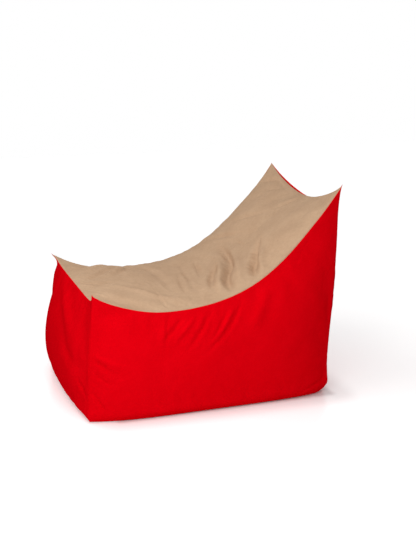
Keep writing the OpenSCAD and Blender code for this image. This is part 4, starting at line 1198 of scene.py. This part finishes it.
def wrapGrid(extra):
    # Rows of the liner's long strip: up the back from its upper flap, down the seat and the
    # front, over the floor, and up the back again to its lower flap, behind the closure
    near = insideSkin(bag["linerDepth"] + extra, linerRise + extra)
    behind = insideSkin(bag["linerDepth"] + extra + flapShift, linerRise + extra)
    cols = np.arange(skin["across"] + 1)
    top = wholeWall[1]
    flaps = rowOf(closureV + np.array([-flapV, -stripV, stripV, flapV]))
    firstAbove = math.ceil(flaps[-1] + liner["rowsAboveFlap"])      # whole rows, clear of the flap's
    above = np.unique(np.concatenate([flaps, np.arange(firstAbove, top + 1)]))
    upper = resample(near[places["back"]], above, cols)
    seat, front = near[places["seat"]][-2:0:-1], near[places["front"]][:0:-1]
    base = near[places["base"]][1:-1]
    stepFoot = zipRows[1]
    lower = resample(near[places["back"]], np.arange(stepFoot + 1), cols)
    lastBelow = math.floor(flaps[0] - liner["rowsBelowFlap"])
    rise = np.unique(np.concatenate([np.arange(stepFoot + 1, lastBelow), flaps]))
    t = np.clip((rise - stepFoot) / (flaps[0] - stepFoot), 0, 1)[:, None, None]
    lapped = lerp(resample(near[places["back"]], rise, cols), resample(behind[places["back"]], rise, cols), t)
    return np.concatenate([upper, seat, front, base, lower, lapped])


def closureStrip(name, depth, material, node):
    margin = closure["inFromSide"] / bag["baseWidth"]
    cols = np.linspace(margin, 1 - margin, closure["pointsAcross"]) * skin["across"]
    rows = np.linspace(rowOf(closureV - stripV), rowOf(closureV + stripV), closure["pointsUp"])
    outer, inner = (resample(insideSkin(d, linerRise)[places["back"]], rows, cols)
                    for d in (depth, depth + closure["thickness"]))
    strip = sheetObject(name, outer, inner, True, material)
    setPiece(strip, "cover", "closure_tape", node)
    declareSheet(strip, outer)


linerSide("linerRightSide", "rightSide", "liner_right_side")
linerSide("linerLeftSide", "leftSide", "liner_left_side")
wrapOuter = wrapGrid(0)
linerWrap = sheetObject("linerWrap", wrapOuter, wrapGrid(bag["linerThickness"]), True, linerWoven)
setPiece(linerWrap, "cover", "liner_cloth", "liner_wrap")
declareSheet(linerWrap, wrapOuter)
hookDepth = bag["linerDepth"] + bag["linerThickness"] + sewnGap
closureStrip("linerClosureHook", hookDepth, hookTape, "liner_closure_hook")
closureStrip("linerClosureLoop", hookDepth + sewnGap + closure["thickness"], loopTape, "liner_closure_loop")
fillPoints = insideSkin(bag["fillDepth"], fillRise)
beadFill = meshObject("beadFill", fillPoints, skinQuads, fillPoints[:, :2], beadWhite)
setPiece(beadFill, "cover", "beads", "bead_fill")
print("liner and beads made")

# Floor, background and lights

# The floor's glow is painted light that is seen but not cast: it is least at the bag's foot, where the real
# shadow shows, and greater further off
studio = dict(floorSize=14, floorDrop=0.0004, floorColour="#f4f4f4", floorRoughness=0.3, floorIor=1.5,
              floorMiddle=(0, 0.060), floorFoot=(0.352, 0.415),
              floorGlow=((0.0, 0.03), (0.035, 0.27), (0.14, 0.42), (0.95, 0.50)), worldStrength=0.38,
              lampsAim=(0, 0, 0.3),
              lamps=dict(key=dict(place=(0.19, -0.70, 1.84), size=1.2, power=12),
                         side=dict(place=(1.40, -0.65, 1.02), size=1.2, power=10)))


def seenDirectly(tree):
    # 1 where the eye, a mirror or a glass looks straight at it, and 0 for the light it casts
    path = addNode(tree, "ShaderNodeLightPath").outputs
    seen = path["Is Camera Ray"]
    for ray in ("Is Glossy Ray", "Is Transmission Ray"):
        seen = addNode(tree, "ShaderNodeMath", {0: seen, 1: path[ray]}, operation="MAXIMUM").outputs[0]
    return seen


def makeFloor(setup):
    half, drop = setup["floorSize"] / 2, -setup["floorDrop"]
    mesh = bpy.data.meshes.new("floor")
    mesh.from_pydata([(-half, -half, drop), (half, -half, drop), (half, half, drop), (-half, half, drop)],
                     [], [(0, 1, 2, 3)])
    floor = bpy.data.objects.new("floor", mesh)
    scene.collection.objects.link(floor)
    material, tree = newMaterial("matt white paper floor with painted glow")
    # Distance from the bag's foot: length(max(|p - middle| - half size, 0))
    beyond = addNode(tree, "ShaderNodeTexCoord").outputs["Object"]
    for operation, inputs in (("SUBTRACT", {1: (*setup["floorMiddle"], 0)}), ("ABSOLUTE", {}),
                              ("SUBTRACT", {1: (*setup["floorFoot"], 1)}), ("MAXIMUM", {1: (0, 0, 0)})):
        beyond = addNode(tree, "ShaderNodeVectorMath", {0: beyond, **inputs}, operation=operation).outputs[0]
    away = addNode(tree, "ShaderNodeVectorMath", {0: beyond}, operation="LENGTH").outputs["Value"]
    # Painted glow: the floor glows less near the bag's foot and more away from it, until it is white
    level = addNode(tree, "ShaderNodeValToRGB", {"Fac": away},
                    stops=[(distance, (glow, glow, glow, 1)) for distance, glow in setup["floorGlow"]])
    level.color_ramp.interpolation = "EASE"
    glow = addNode(tree, "ShaderNodeMath", {0: seenDirectly(tree), 1: level.outputs["Color"]},
                   operation="MULTIPLY")
    mesh.materials.append(finishMaterial(material, {
        "Base Color": srgb(setup["floorColour"]), "Roughness": setup["floorRoughness"],
        "IOR": setup["floorIor"], "Emission Color": (1, 1, 1, 1), "Emission Strength": glow.outputs[0]}))


def makeStudio(setup):
    makeFloor(setup)
    world = bpy.data.worlds.new("studio")
    scene.world = world
    world.use_nodes = True
    tree = world.node_tree
    strength = addNode(tree, "ShaderNodeMapRange", {"Value": seenDirectly(tree),
                                                    "To Min": setup["worldStrength"], "To Max": 1.0})
    setInputs(tree, tree.nodes["Background"], {"Color": (1, 1, 1, 1), "Strength": strength.outputs["Result"]})
    for name, lampSetup in setup["lamps"].items():
        lamp = bpy.data.lights.new(name, "AREA")
        lamp.shape, lamp.size, lamp.energy = "DISK", lampSetup["size"], lampSetup["power"]
        item = bpy.data.objects.new(name, lamp)
        item.location = lampSetup["place"]
        item.rotation_euler = (Vector(setup["lampsAim"]) - item.location).to_track_quat("-Z", "Y").to_euler()
        scene.collection.objects.link(item)
    scene.view_settings.view_transform = "Standard"


makeStudio(studio)
print("studio lit")
